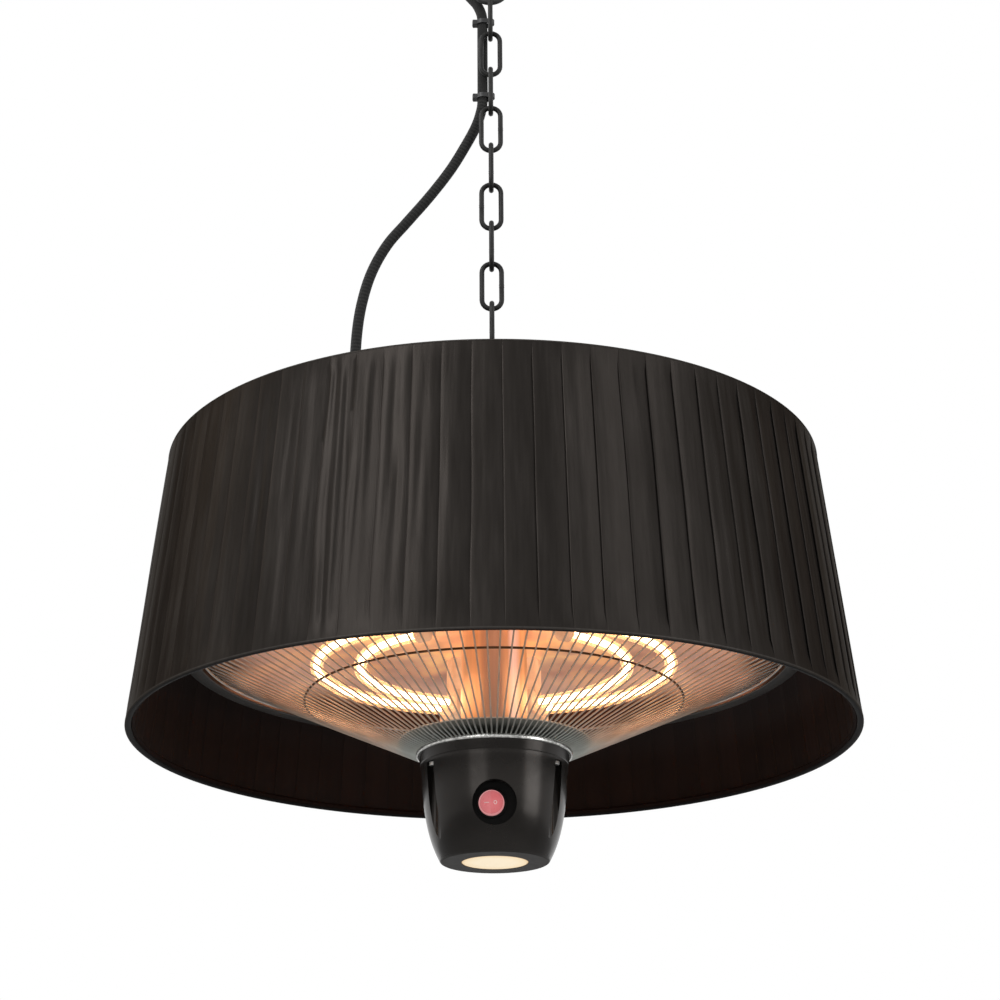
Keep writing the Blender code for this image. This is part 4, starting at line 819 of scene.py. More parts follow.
def round_bar(name, radius, start, end, segments=48, far_radius=None):
    """A straight round bar between two points, for a cut or a wall."""
    bm = bmesh.new()
    start, end = Vector(start), Vector(end)
    bmesh.ops.create_cone(
        bm,
        cap_ends=True,
        segments=segments,
        radius1=radius,
        radius2=far_radius or radius,
        depth=(end - start).length,
    )
    set_down(bm, (start + end) / 2, (end - start).to_track_quat("Z", "Y").to_matrix())
    mesh = bpy.data.meshes.new(name)
    bm.to_mesh(mesh)
    bm.free()
    bar = bpy.data.objects.new(name, mesh)
    bpy.context.scene.collection.objects.link(bar)
    return bar


def carve(piece, cutter):
    """Cuts the cutter out of the piece for good, and removes it."""
    cut = piece.modifiers.new("cut", "BOOLEAN")
    cut.solver = "EXACT"
    cut.object = cutter
    bpy.context.view_layer.update()
    done = bpy.data.meshes.new_from_object(piece.evaluated_get(bpy.context.evaluated_depsgraph_get()))
    piece.modifiers.clear()
    before = piece.data
    piece.data = done
    bpy.data.meshes.remove(before)
    bpy.data.objects.remove(cutter, do_unlink=True)


HOOD_RIM = heights("hood")[0]
HOOD_LIP = 0.24675
top_face = [(ROD_HOLE, 0), (0.150, 0), (0.158, -0.0003), (0.168, -0.0022), (0.178, -0.0055)]
top_face += [(0.200, -0.0188), (0.228, -0.0356), (0.250, -0.0489), (0.2578, -0.0526), (0.2595, -0.0545)]
top_face += [(0.2600, -0.0570)]
rolled_lip = [(0.2600, 0.0016), (0.2596, 0.0006), (0.2586, 0), (HOOD_LIP + 0.0006, 0), (HOOD_LIP, 0.0005)]
rolled_lip += [(HOOD_LIP, 0.0010), (HOOD_LIP + 0.0003, 0.0012), (0.2576, 0.0012)]
inner_face = [(0.2576, -0.0550), (0.2490, -0.0500), (0.200, -0.0202), (0.178, -0.0069), (0.158, -0.0015)]
inner_face += [(ROD_HOLE, -0.0012)]
hood_outline = raised(top_face, HOOD_TOP) + raised(rolled_lip, HOOD_RIM) + raised(inner_face, HOOD_TOP)
hood = piece_from(spun(hood_outline, 144), "pressed_hood", grey_paint)
gland_hole = ((GLAND_X, 0, HOOD_TOP - 0.01), (GLAND_X, 0, HOOD_TOP + 0.01))
carve(hood, round_bar("gland_hole", 0.0078, *gland_hole, 40))
take_over(hood, "hood")

# Reflector: a polished aluminium dish pressed in one piece, clamped between the rod's
# spacer and the column. Its orange glow from the lamps is painted in as emission, and its
# base colour is tinted orange-brown. The wall near the rim carries painted shade.
def from_axis(material, furthest):
    """How far a point lies from the heater's axis, as a share of the furthest."""
    out = node(material, "VectorMath", {0: place(material, (1, 1, 0))}, operation="LENGTH").outputs["Value"]
    return levels(material, out, end=furthest)


mirror = finish("polished_aluminium", 1.0, Emission_Strength=0.8)
marks = {"Vector": place(mirror), "Scale": 130.0, "Distortion": 1.2}
spin_marks = node(mirror, "TexWave", marks, wave_type="RINGS", rings_direction="Z").outputs["Fac"]
dish_tone = shades(mirror, grain(mirror, 16), (0.3, (0.60, 0.38, 0.28)), (0.7, (0.78, 0.53, 0.41)))
radial = from_axis(mirror, 0.25)
# Painted shade: near the rim the wall is darkened at the sides, the front and the rear, in base colour and
# glow.
outward = node(mirror, "VectorMath", {0: place(mirror, (1, 1, 0))}, operation="NORMALIZE").outputs["Vector"]
towards_rear = maths(mirror, "ABSOLUTE", node(mirror, "SeparateXYZ", {"Vector": outward}).outputs["Y"])
wall_painted_shade = shades(
    mirror,
    towards_rear,
    (0.29, (0.12, 0.11, 0.10)),
    (0.42, (0.95, 0.90, 0.85)),
    (0.62, (0.95, 0.90, 0.85)),
    (0.74, (0.10, 0.065, 0.055)),
)
painted_shade_rim_mask = shades(mirror, radial, (0.86, (0, 0, 0)), (0.93, (1, 1, 1)))
dish_rim_painted_shade = blended(mirror, painted_shade_rim_mask, (1, 1, 1, 1), wall_painted_shade)
lip_tone = shades(mirror, radial, (0.975, (1, 1, 1)), (0.99, (0.9, 1.1, 1.25)))
link(mirror, tinted(mirror, tinted(mirror, dish_tone, dish_rim_painted_shade), lip_tone), "Base Color")
# Painted glow: emission by distance from the axis, brightest round the lamps, in mottled patches.
heat = shades(
    mirror,
    radial,
    (0.12, (0.42, 0.17, 0.06)),
    (0.36, (0.74, 0.37, 0.15)),
    (0.50, (0.88, 0.49, 0.23)),
    (0.66, (0.66, 0.33, 0.18)),
    (0.84, (0.34, 0.17, 0.105)),
    (0.96, (0.30, 0.15, 0.09)),
    (0.985, (0.0, 0.0, 0.0)),
)
painted_glow_patch_tones = ((0.34, (0.42, 0.40, 0.52)), (0.50, (0.72, 0.66, 0.70)), (0.62, (1.12, 0.98, 0.74)))
painted_glow_patches = shades(mirror, grain(mirror, 26, 4), *painted_glow_patch_tones)
link(mirror, tinted(mirror, tinted(mirror, heat, painted_glow_patches), dish_rim_painted_shade), "Emission Color")
link(mirror, levels(mirror, grain(mirror, 60, 3), 0.34, 0.44), "Roughness")
dents = node(mirror, "Bump", {"Height": grain(mirror, 22, 2), "Strength": 0.22, "Distance": 0.003})
relief(mirror, spin_marks, 0.03, 0.0003, dents.outputs["Normal"])

DISH_WALL = 0.0008
DISH_FLANGE = 0.2545
DISH_LIP = 0.24755
REFLECTOR_LOW, reflector_high = heights("reflector")
REFLECTOR_TOP = reflector_high - DISH_WALL
dish_start = REFLECTOR_LOW + 0.0055
dish_below = []
for share in [step / 14 for step in range(15)]:
    lift = 1 - (1 - share) ** 1.65
    radius = DISH_LIP - (DISH_LIP - 0.172) * share
    dish_below.append((radius, dish_start + (REFLECTOR_TOP - dish_start) * lift))
dish_above = [(radius, height + DISH_WALL) for radius, height in reversed(dish_below)]
dish_bm = spun(
    [
        (DISH_FLANGE, REFLECTOR_LOW),
        (DISH_LIP, REFLECTOR_LOW),
        *dish_below,
        (ROD_HOLE, REFLECTOR_TOP),
        (ROD_HOLE, REFLECTOR_TOP + DISH_WALL),
        *dish_above[:-1],
        (DISH_LIP + DISH_WALL, dish_start + 0.0006),
        (DISH_LIP + DISH_WALL, REFLECTOR_LOW + DISH_WALL),
        (DISH_FLANGE, REFLECTOR_LOW + DISH_WALL),
    ],
    144,
)
take_over(piece_from(dish_bm, "reflector_dish", mirror), "reflector")

COLUMN_WIDE = 0.0275
COLUMN_BORE = 0.0265
low, high = heights("reflector_column")
column_outline = [(COLUMN_BORE, low), (0.0272, low), (COLUMN_WIDE, low + 0.0004)]
column_outline += [(COLUMN_WIDE, high - 0.0004), (0.0272, high), (COLUMN_BORE, high)]
# Painted reflection: the column's orange reflections of the lamps, its dark middle and its pale streak are
# emission, laid out by side.
bright_tube = finish("bright_drawn_tube", 1.0, Emission_Strength=0.58)
draw_marks = grain(bright_tube, 70, 3, (1, 1, 0.02))
tube_tone = shades(bright_tube, draw_marks, (0.3, (0.46, 0.28, 0.20)), (0.7, (0.76, 0.52, 0.38)))
link(bright_tube, tube_tone, "Base Color")
facing = levels(bright_tube, axis_of(bright_tube, "X"), start=-COLUMN_WIDE, end=COLUMN_WIDE)
painted_tube_reflection = shades(
    bright_tube,
    facing,
    (0.04, (0.62, 0.28, 0.12)),
    (0.24, (0.70, 0.27, 0.08)),
    (0.36, (0.22, 0.12, 0.08)),
    (0.60, (0.16, 0.095, 0.075)),
    (0.70, (0.55, 0.24, 0.10)),
    (0.77, (1.05, 0.78, 0.68)),
    (0.83, (0.95, 0.66, 0.55)),
    (0.90, (0.72, 0.30, 0.10)),
)
painted_reflection_streaks = shades(bright_tube, draw_marks, (0.32, (0.55, 0.50, 0.50)), (0.65, (1.1, 1.1, 1.1)))
link(bright_tube, tinted(bright_tube, painted_tube_reflection, painted_reflection_streaks), "Emission Color")
link(bright_tube, levels(bright_tube, grain(bright_tube, 200, 3, (1, 1, 0.05)), 0.32, 0.46), "Roughness")
relief(bright_tube, draw_marks, 0.1, 0.0004)
column = piece_from(spun(column_outline), "polished_column", bright_tube)
take_over(column, "reflector_column")

# Halogen lamps: four 11 mm quartz tubes bent about the column in two pairs. A coiled
# filament runs through each, so it glows in short bright lengths.
quartz = finish("hot_quartz", Alpha=0.30, Emission_Strength=0.8)
quartz_tone = shades(quartz, grain(quartz, 90), (0.3, (0.95, 0.50, 0.20)), (0.7, (1.0, 0.66, 0.34)))
quartz_glow = shades(quartz, grain(quartz, 45, 2), (0.3, (0.95, 0.55, 0.30)), (0.7, (1.0, 0.66, 0.40)))
link(quartz, quartz_tone, "Base Color")
link(quartz, quartz_glow, "Emission Color")
link(quartz, levels(quartz, grain(quartz, 200, 2), 0.06, 0.16), "Roughness")
coil = finish("glowing_coil", Roughness=0.5, Emission_Strength=9.0)
turns = maths(coil, "FRACT", axis_of(coil, "Y", (1, 96, 1), "UV"))
coil_glow = shades(
    coil,
    turns,
    (0.0, (0.13, 0.055, 0.018)),
    (0.14, (0.9, 0.55, 0.24)),
    (0.30, (1.0, 0.78, 0.48)),
    (0.70, (1.0, 0.78, 0.48)),
    (0.86, (0.9, 0.55, 0.24)),
    (1.0, (0.13, 0.055, 0.018)),
)
link(coil, coil_glow, "Emission Color")
link(coil, shades(coil, turns, (0.0, (0.5, 0.2, 0.08)), (1.0, (0.9, 0.6, 0.3))), "Base Color")

SIDES = (("left", 1), ("right", -1))
LAMP_BENDS = (("inner", 0.111, 0), ("outer", 0.127, 0.020))
REAR_END = math.radians(19)
FRONT_END = math.radians(32.5)
LAMP_HEIGHT = sum(heights("lamp_left_inner")) / 2


def lamp_end(bend, shift, end_angle):
    """The tip at the holder's face, the straight end's start and its angle round the bend."""
    along = Vector((-math.sin(end_angle), math.cos(end_angle), 0))
    away = Vector((-along.y, along.x, 0))
    near = shift * math.sin(end_angle)
    tip = (near + math.sqrt(near**2 - shift**2 + bend**2)) * along + 0.0003 * away
    start = tip + 0.003 * away
    return tip, start, math.atan2(start.y, start.x + shift)


for side, flip in SIDES:
    for bend_name, bend, shift in LAMP_BENDS:
        tip, start, first_turn = lamp_end(bend, shift, REAR_END)
        front_tip, front_start, last_turn = lamp_end(bend, shift, FRONT_END)
        path = [tip, start]
        for step in range(1, 48):
            turn = first_turn + (math.tau - last_turn - first_turn) * step / 48
            path.append(Vector((bend * math.cos(turn) - shift, bend * math.sin(turn), 0)))
        path += [Vector((front_start.x, -front_start.y, 0)), Vector((front_tip.x, -front_tip.y, 0))]
        path = [Vector((flip * p.x, p.y, LAMP_HEIGHT)) for p in path]
        tube = piece_from(rolled(path, 0.0055, 20), f"quartz_{side}_{bend_name}", quartz)
        filament = piece_from(rolled(path[1:-1], 0.0027, 12), f"filament_{side}_{bend_name}", coil)
        for part in (tube, filament):
            take_over(part, f"lamp_{side}_{bend_name}")

# Lamp holders, terminal block and cut-out: unglazed white ceramic, screwed to the
# reflector and the hood, slightly scorched by use. The holders are coloured darker and
# browner, and carry a painted orange glow from the lamps.
ceramic = surface(
    "white_ceramic",
    (40, 4, (0.3, (0.56, 0.50, 0.42)), (0.7, (0.80, 0.77, 0.71))),
    (300, 3, 0.5, 0.75),
    (900, 3, 0.3, 0.0004),
)
holder_ceramic_painted_glow = surface(
    "holder_ceramic_painted_glow",
    (40, 4, (0.3, (0.34, 0.21, 0.14)), (0.7, (0.50, 0.33, 0.23))),
    (300, 3, 0.5, 0.75),
    (900, 3, 0.3, 0.0004),
    Emission_Strength=0.6,
)
# Painted glow: the holders' orange emission.
holder_painted_glow = grain(holder_ceramic_painted_glow, 60, 2)
holder_painted_glow = shades(holder_ceramic_painted_glow, holder_painted_glow, (0.3, (0.62, 0.30, 0.16)), (0.7, (0.95, 0.56, 0.32)))
link(holder_ceramic_painted_glow, holder_painted_glow, "Emission Color")
smooth_copy("lamp_holder_rear", holder_ceramic_painted_glow, "rear_holder", 0.0015)
cap_outline = [(0, 0.0002), (0.0066, 0.0002)]
for rib in range(5):
    rib_start = 0.0002 + 0.0018 * rib
    cap_outline += [(0.0070, rib_start + 0.0003), (0.0070, rib_start + 0.0010), (0.0062, rib_start + 0.0013)]
    cap_outline += [(0.0062, rib_start + 0.0017)]
cap_outline += [(0.0066, 0.0092), (0, 0.0092)]
for side, flip in SIDES:
    solid = f"lamp_holder_front_{side}"
    block = smooth_copy(solid, holder_ceramic_painted_glow, f"front_holder_{side}", 0.0010)
    for vert in block.data.vertices:
        vert.co.z = max(vert.co.z, LAMP_HEIGHT + 0.0010)
    for bend_name, bend, shift in LAMP_BENDS:
        tip, start, _ = lamp_end(bend, shift, FRONT_END)
        onward = (tip - start).normalized()
        turn = Vector((flip * onward.x, -onward.y, 0)).to_track_quat("Z", "Y").to_matrix()
        cap_bm = spun(cap_outline, 32)
        set_down(cap_bm, (flip * tip.x, -tip.y, LAMP_HEIGHT), turn)
        cap = piece_from(cap_bm, f"lamp_cap_{side}_{bend_name}", holder_ceramic_painted_glow, 50)
        take_over(cap, solid)
dress("terminal_block", ceramic)
dress("thermal_cutout", ceramic)

# Grille: 108 bright steel wires of 1.5 mm, welded at the top to a thin ring, halfway to a
# hoop on their inner side and at the foot to a collar that grips the cup.
wire_steel = finish("bright_wire", 1.0)
wire_tone = shades(wire_steel, grain(wire_steel, 50), (0.3, (0.72, 0.70, 0.68)), (0.7, (1.0, 1.0, 1.0)))
# Painted lamp light: the wires' base colour is orange where the lamps light them, greyer at the collar and
# the rim.
wire_painted_lamp_light = shades(
    wire_steel,
    from_axis(wire_steel, 0.25),
    (0.29, (0.50, 0.52, 0.49)),
    (0.40, (0.60, 0.47, 0.38)),
    (0.78, (0.56, 0.42, 0.32)),
    (0.92, (0.72, 0.70, 0.66)),
)
link(wire_steel, tinted(wire_steel, wire_tone, wire_painted_lamp_light), "Base Color")
link(wire_steel, levels(wire_steel, grain(wire_steel, 300, 2), 0.38, 0.54), "Roughness")
relief(wire_steel, grain(wire_steel, 1200, 2), 0.03, 0.0002)

WIRES = 108
grille_low, grille_high = heights("grille_wires")
COLLAR_HEIGHT = grille_low + 0.0009
wire_path = [(0.0617, 0), (0.0660, 0.0004), (0.1100, 0.0206), (0.1560, 0.0417), (0.2000, 0.0622)]
wire_path = [(radius, 0, height) for radius, height in raised(wire_path, COLLAR_HEIGHT)]
wires_bm = rolled(through([*wire_path, (0.2417, 0, grille_high - 0.0009)], 0.0155), 0.00074, 8)
bmesh.ops.spin(
    wires_bm,
    geom=wires_bm.verts[:] + wires_bm.edges[:] + wires_bm.faces[:],
    cent=(0, 0, 0),
    axis=(0, 0, 1),
    angle=math.tau * (WIRES - 1) / WIRES,
    steps=WIRES - 1,
    use_duplicate=True,
)
half_step = Matrix.Rotation(math.pi / WIRES, 3, "Z")
bmesh.ops.rotate(wires_bm, verts=wires_bm.verts, cent=(0, 0, 0), matrix=half_step)
wires = piece_from(wires_bm, "radial_wires", wire_steel, 50)
collar_outline = [(0.0600, -0.0001), (0.0627, -0.0003), (0.0627, -0.0027), (0.0630, -0.0029)]
collar_outline += [(0.0640, -0.0026), (0.0643, -0.0020), (0.0643, 0.0004), (0.0638, 0.0009), (0.0600, 0.0009)]
bright_collar = surface(
    "bright_collar",
    (420, 2, (0.35, (0.36, 0.36, 0.34)), (0.62, (0.80, 0.79, 0.76))),
    (500, 2, 0.14, 0.32),
    (420, 2, 0.12, 0.0004),
    1.0,
)
collar = piece_from(spun(raised(collar_outline, COLLAR_HEIGHT), 192), "grille_collar", bright_collar)
for part in (wires, collar):
    take_over(part, "grille_wires")
hoop_steel = surface(
    "dark_hoop_wire",
    (60, 4, (0.3, (0.10, 0.055, 0.030)), (0.7, (0.19, 0.105, 0.060))),
    (300, 2, 0.40, 0.60),
    (900, 2, 0.05, 0.0002),
    1.0,
)
for node_name, piece_name, steel, thickness, drop in (
    ("grille_rim_ring", "rim_wire_ring", wire_steel, 0.6, 0.0),
    ("grille_hoop", "middle_hoop", hoop_steel, 0.76, 0.0018),
):
    low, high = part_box(node_name)
    thick = (high[2] - low[2]) / 2
    wide = (high[0] - low[0]) / 2 - thick
    middle = (low[2] + high[2]) / 2 - drop
    circle = [around(wide, math.tau * step / 192, middle) for step in range(192)]
    hoop = piece_from(rolled(circle, thickness * thick, 12, closed=True), piece_name, steel, 60)
    take_over(hoop, node_name)

# Heat shield: a dark steel disc under the column that keeps the lamps' heat off the cup.
# Its edge carries a painted highlight, and the three screws of the cup pass through it.
SHIELD_WIDE = 0.0790
shield_dark = finish("dark_heatproof_steel", 0.3)
# Painted highlight: a pale warm ring at the disc's edge.
shield_painted_edge_highlight = shades(shield_dark, from_axis(shield_dark, SHIELD_WIDE), (0.985, (0, 0, 0)), (0.99, (1, 1, 1)))
shield_tone = grain(shield_dark, 35)
shield_tone = shades(shield_dark, shield_tone, (0.3, (0.19, 0.19, 0.17)), (0.7, (0.27, 0.27, 0.24)))
link(shield_dark, blended(shield_dark, shield_painted_edge_highlight, shield_tone, (0.80, 0.72, 0.62, 1)), "Base Color")
link(shield_dark, levels(shield_dark, grain(shield_dark, 180, 3), 0.34, 0.56), "Roughness")
relief(shield_dark, grain(shield_dark, 700, 3), 0.15, 0.0003)
low, high = heights("heat_shield")
shield_outline = [(ROD_HOLE, low), (0.0784, low), (SHIELD_WIDE, low + 0.0003)]
shield_outline += [(SHIELD_WIDE, high - 0.0003), (0.0784, high), (ROD_HOLE, high)]
shield = piece_from(spun(shield_outline, 128), "shield_disc", shield_dark)
SCREW_CIRCLE = 0.0565
screw_angles = [math.pi / 2 + math.tau * number / 3 for number in range(3)]
for angle in screw_angles:
    x, y, _ = around(SCREW_CIRCLE, angle, 0)
    carve(shield, round_bar("screw_hole", 0.0021, (x, y, low - 0.005), (x, y, low + 0.005), 24))
take_over(shield, "heat_shield")

# Control cup: glossy black moulded plastic, open at three screw channels up its sides
# and recessed at the front for the switch. A fine line runs round it below the rim.
gloss_black = finish("glossy_black_moulding", Specular_IOR_Level=0.30, Specular_Tint=(1.0, 0.92, 0.86, 1))
gloss_tone = grain(gloss_black, 25)
gloss_tone = shades(gloss_black, gloss_tone, (0.3, (0.0068, 0.0062, 0.0057)), (0.7, (0.0105, 0.0096, 0.0088)))
link(gloss_black, gloss_tone, "Base Color")
CUP_TOP = grille_low - 0.0003
underside = levels(gloss_black, axis_of(gloss_black, "Z"), 0.0, 0.30, CUP_TOP - 0.0870, CUP_TOP - 0.0884)
polish = levels(gloss_black, grain(gloss_black, 160, 4), 0.17, 0.28)
link(gloss_black, maths(gloss_black, "ADD", polish, underside), "Roughness")
relief(gloss_black, grain(gloss_black, 60, 2), 0.05, 0.0008)

cup_side = [(0.0603, -0.0101), (0.0599, -0.0140), (0.0591, -0.0250), (0.0583, -0.0354), (0.0574, -0.0440)]
cup_side += [(0.0562, -0.0513), (0.0545, -0.0600), (0.0521, -0.0690), (0.0495, -0.0765), (0.0470, -0.0823)]
cup_side = through([(radius, 0, height) for radius, height in raised(cup_side, CUP_TOP)], 0.0022)
cup_rim = [(0, 0.0100), (0.0140, 0.0100), (0.0140, 0), (0.0616, 0), (0.0622, -0.0003), (0.0624, -0.0010)]
cup_rim += [(0.0623, -0.0016), (0.0614, -0.0050), (0.0607, -0.0086), (0.0606, -0.0090), (0.0605, -0.0092)]
cup_rim += [(0.0604, -0.0094), (0.0604, -0.0097)]
cup_base = [(0.0453, -0.0857), (0.0445, -0.0872), (0.0439, -0.0880), (0.0430, -0.0885), (0, -0.0885)]
cup_outline = [*raised(cup_rim, CUP_TOP), *[(p.x, p.z) for p in cup_side], *raised(cup_base, CUP_TOP)]
cup = piece_from(spun(cup_outline, 160), "moulded_cup", gloss_black, 28)
hollow_outline = raised([(0, -0.0025), (0.0590, -0.0025)], CUP_TOP)
hollow_outline += [(p.x - 0.0026, p.z) for p in cup_side]
hollow_outline += raised([(0.0410, -0.0860), (0, -0.0860)], CUP_TOP)
hollow = piece_from(spun(hollow_outline), "cup_hollow", gloss_black)

SWITCH_X = -0.0025
SWITCH_HEIGHT = CUP_TOP - 0.0515
RECESS_FLOOR = -0.050474
for angle in screw_angles:
    x, y, _ = around(0.0535, angle, 0)
    carve(hollow, round_bar("channel_wall", 0.0080, (x, y, CUP_TOP), (x, y, CUP_TOP - 0.0900)))
wall_back = (0, RECESS_FLOOR + 0.0025, SWITCH_HEIGHT)
carve(hollow, round_bar("switch_wall", 0.0200, wall_back, (0, RECESS_FLOOR - 0.0200, SWITCH_HEIGHT), 64))
carve(cup, hollow)
for angle in screw_angles:
    x, y, _ = around(SCREW_CIRCLE, angle, 0)
    carve(cup, round_bar("channel", 0.0060, (x, y, CUP_TOP - 0.0120), (x, y, CUP_TOP - 0.0930)))
floor_middle = (0, RECESS_FLOOR, SWITCH_HEIGHT)
carve(cup, round_bar("recess", 0.0175, floor_middle, (0, -0.070, SWITCH_HEIGHT), 80, 0.0182))
hole_start = (SWITCH_X, RECESS_FLOOR + 0.01, SWITCH_HEIGHT)
carve(cup, round_bar("switch_hole", 0.0115, hole_start, (SWITCH_X, -0.060, SWITCH_HEIGHT), 64))
carve(cup, round_bar("rod_bore", ROD_HOLE, (0, 0, CUP_TOP + 0.02), (0, 0, CUP_TOP - 0.01)))
carve(cup, round_bar("lens_bore", 0.0271, (0, 0, CUP_TOP - 0.084), (0, 0, CUP_TOP - 0.10), 96))
matte_black_and_recess_shade = surface(
    "matte_black_moulding_and_recess_shade",
    (90, 4, (0.3, (0.0022, 0.0020, 0.0019)), (0.7, (0.0042, 0.0039, 0.0036))),
    (400, 2, 0.36, 0.56),
    (900, 2, 0.1, 0.0002),
    Specular_IOR_Level=0.08,
)
# Painted shade: the recess floor takes this darker, duller black. The bezel uses it as its own matte black.
cup.data.materials.append(matte_black_and_recess_shade)
for face in cup.data.polygons:
    across = math.hypot(face.center.x, face.center.z - SWITCH_HEIGHT)
    if across < 0.0176 and face.center.y < -0.045 and abs(face.center.y - RECESS_FLOOR) < 0.0003:
        face.material_index = 1
cup.data.shade_smooth()
cup.data.set_sharp_from_angle(angle=math.radians(28))
softened(cup, 0.0004)
take_over(cup, "control_cup")

# Cup screws: plated pan heads at the top of the three channels. Each is a solid turned
# part, and only its head shows from below.
for number in range(1, 4):
    smooth_copy(f"cup_screw_{number}", zinc, f"channel_screw_{number}", 0.0004)

# Base light: an opal lens with a low rim, pressed up into the cup's base, lit warm white
# from a small round board of diodes above it.
LENS_WIDE = 0.0268
opal = finish("opal_lens", Emission_Strength=0.74)
lens_glow = shades(
    opal,
    from_axis(opal, LENS_WIDE),
    (0.0, (1.0, 0.85, 0.62)),
    (0.6, (1.0, 0.84, 0.60)),
    (0.92, (0.97, 0.76, 0.48)),
    (1.0, (0.78, 0.52, 0.26)),
)
link(opal, lens_glow, "Emission Color")
link(opal, shades(opal, grain(opal, 80), (0.3, (0.27, 0.23, 0.16)), (0.7, (0.32, 0.28, 0.20))), "Base Color")
link(opal, levels(opal, grain(opal, 300, 2), 0.34, 0.5), "Roughness")
low, high = heights("light_lens")
lens_outline = [(0, low + 0.0002), (0.0200, low), (0.0262, low + 0.0001), (LENS_WIDE, low + 0.0006)]
lens_outline += [(LENS_WIDE, low + 0.0029), (0.0308, low + 0.0029), (0.0308, high), (0.0288, high)]
lens_outline += [(0.0288, low + 0.0049), (0, low + 0.0049)]
take_over(piece_from(spun(lens_outline), "opal_lens", opal), "light_lens")

board = finish("circuit_board")
board_look = {"Vector": place(board), "Scale": 240.0, "Mortar Size": 0.03}
board_look.update({"Color1": (0.02, 0.12, 0.06, 1), "Color2": (0.03, 0.15, 0.08, 1)})
board_look["Mortar"] = (0.35, 0.28, 0.10, 1)
tracks = node(board, "TexBrick", board_look)
link(board, tracks.outputs["Color"], "Base Color")
link(board, levels(board, grain(board, 300, 2), 0.35, 0.6), "Roughness")
relief(board, tracks.outputs["Fac"], 0.2, 0.0002)
dress("light_board", board)

# Switch: a round black bezel set in the recess, a little left of its middle, round a red
# lit rocker. Its two faces meet in a low ridge, with a raised bar and ring for on and off.
upright = Matrix.Rotation(math.pi / 2, 3, "X")
bezel_outline = [(0.0105, 0.0016), (0.0109, 0.0022), (0.0117, 0.0022), (0.0122, 0.0017), (0.0122, 0.0003)]
bezel_outline += [(0.0112, 0.0003), (0.0112, -0.0180), (0.0105, -0.0180)]
bezel_bm = spun(bezel_outline)
set_down(bezel_bm, (SWITCH_X, RECESS_FLOOR, SWITCH_HEIGHT), upright)
take_over(piece_from(bezel_bm, "switch_surround", matte_black_and_recess_shade), "switch_bezel")

ROCKER_WIDE = 0.0102
red = finish("lit_red_rocker", Emission_Strength=0.48)
red_tone = shades(red, grain(red, 130), (0.3, (0.36, 0.060, 0.066)), (0.7, (0.44, 0.085, 0.092)))
link(red, red_tone, "Base Color")
from_middle = {0: place(red, (1, 0, 1)), 1: (SWITCH_X, 0, SWITCH_HEIGHT)}
from_middle = node(red, "VectorMath", from_middle, operation="DISTANCE").outputs["Value"]
rocker_edge = shades(
    red,
    levels(red, from_middle, end=ROCKER_WIDE),
    (0.0, (1.0, 0.95, 0.95)),
    (0.80, (0.82, 0.72, 0.72)),
    (0.88, (0.60, 0.60, 0.62)),
    (0.93, (1.0, 1.6, 1.5)),
)
red_glow = shades(red, grain(red, 90), (0.3, (0.80, 0.20, 0.22)), (0.7, (0.95, 0.32, 0.34)))
link(red, tinted(red, red_glow, rocker_edge), "Emission Color")
link(red, levels(red, grain(red, 400, 2), 0.22, 0.36), "Roughness")
rocker_bm = bmesh.new()
bmesh.ops.create_uvsphere(rocker_bm, u_segments=64, v_segments=40, radius=ROCKER_WIDE)
bmesh.ops.rotate(rocker_bm, verts=rocker_bm.verts, cent=(0, 0, 0), matrix=upright)
tilt = math.radians(8)
FACE_DEPTH = -0.0028
for spot, out in (
    ((0, 0.0040, 0), (0, 1, 0)),
    ((0, FACE_DEPTH, 0), (math.sin(tilt), -math.cos(tilt), 0)),
    ((0, FACE_DEPTH, 0), (-math.sin(tilt), -math.cos(tilt), 0)),
):
    rim = bmesh.ops.bisect_plane(
        rocker_bm,
        geom=rocker_bm.verts[:] + rocker_bm.edges[:] + rocker_bm.faces[:],
        plane_co=spot,
        plane_no=out,
        clear_outer=True,
    )["geom_cut"]
    bmesh.ops.contextual_create(rocker_bm, geom=sorted_out(rim)[1])
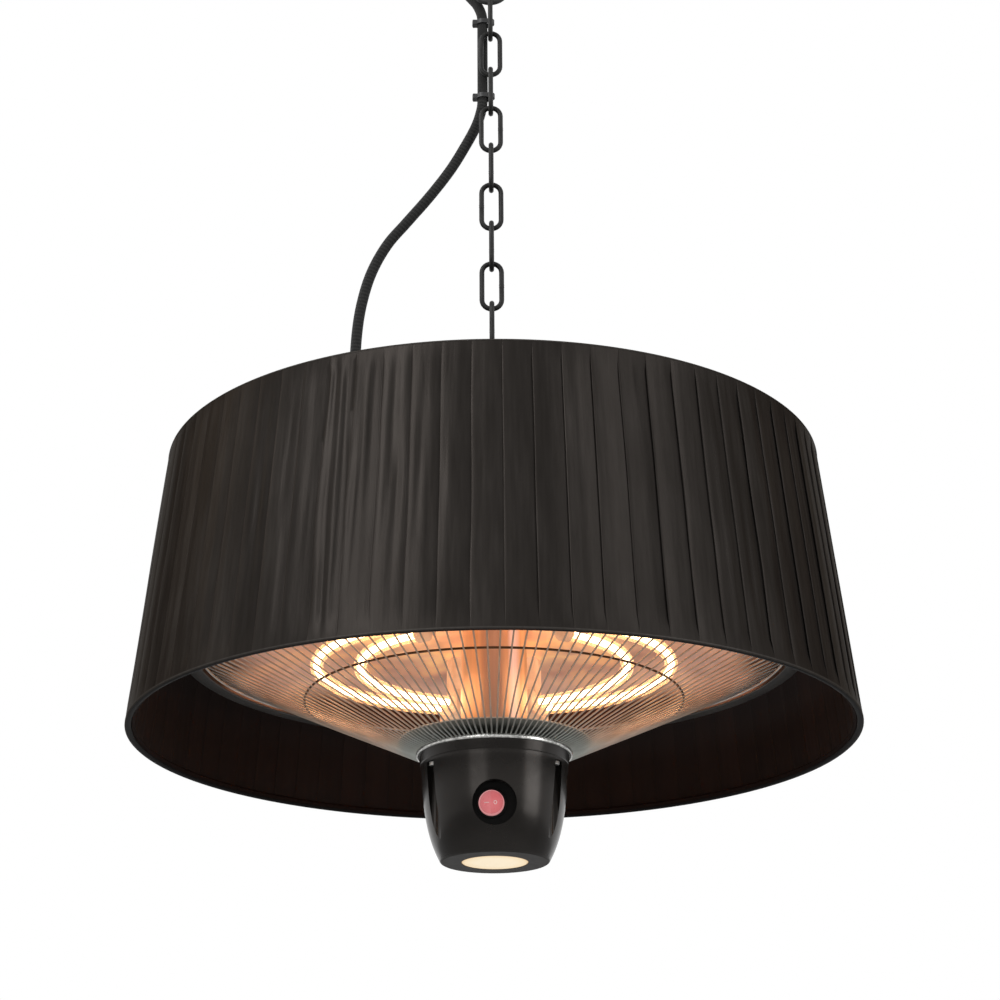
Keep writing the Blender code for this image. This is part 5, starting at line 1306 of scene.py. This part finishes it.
pivot = Vector((SWITCH_X, RECESS_FLOOR - 0.0012, SWITCH_HEIGHT))
seat = Matrix.Translation(pivot) @ Matrix.Rotation(-tilt, 4, "Z")
bmesh.ops.transform(rocker_bm, verts=rocker_bm.verts, matrix=seat)
bmesh.ops.remove_doubles(rocker_bm, verts=rocker_bm.verts, dist=0.000001)
bmesh.ops.recalc_face_normals(rocker_bm, faces=rocker_bm.faces)
rocker = piece_from(rocker_bm, "red_rocker", red, 10)
softened(rocker, 0.0005, 3, 20)
take_over(rocker, "switch_rocker", "rocker")

pale = finish("pale_switch_mark", Roughness=0.4, Emission_Strength=0.15)
link(pale, shades(pale, grain(pale, 200), (0.3, (0.72, 0.50, 0.48)), (0.7, (0.86, 0.66, 0.62))), "Base Color")
link(pale, shades(pale, grain(pale, 200), (0.3, (0.9, 0.55, 0.5)), (0.7, (1.0, 0.7, 0.65))), "Emission Color")
bar_bm = bmesh.new()
bmesh.ops.create_cube(bar_bm, size=1)
bmesh.ops.scale(bar_bm, verts=bar_bm.verts, vec=(0.0040, 0.0003, 0.0006))
rounding = {"offset": 0.0001, "segments": 2, "profile": 0.5, "affect": "EDGES", "material": -1}
bmesh.ops.bevel(bar_bm, geom=bar_bm.edges[:], **rounding)
turns = [math.tau * step / 40 for step in range(40)]
oval = [Vector((0.0011 * math.cos(turn), 0, 0.0014 * math.sin(turn))) for turn in turns]
ring_bm = rolled(oval, 0.00030, 8, closed=True)
bmesh.ops.scale(ring_bm, verts=ring_bm.verts, vec=(1, 0.45, 1))
for side, name, off, mark_bm in (
    (-1, "rocker_on_bar", 0.0036, bar_bm),
    (1, "rocker_off_ring", 0.0034, ring_bm),
):
    lie = Matrix.Rotation(side * tilt, 4, "Z")
    spot = Matrix.Translation((side * off, FACE_DEPTH + off * math.tan(tilt) - 0.00002, 0))
    bmesh.ops.transform(mark_bm, verts=mark_bm.verts, matrix=seat @ spot @ lie)
    sign = piece_from(mark_bm, name, pale)
    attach(sign, "rocker")
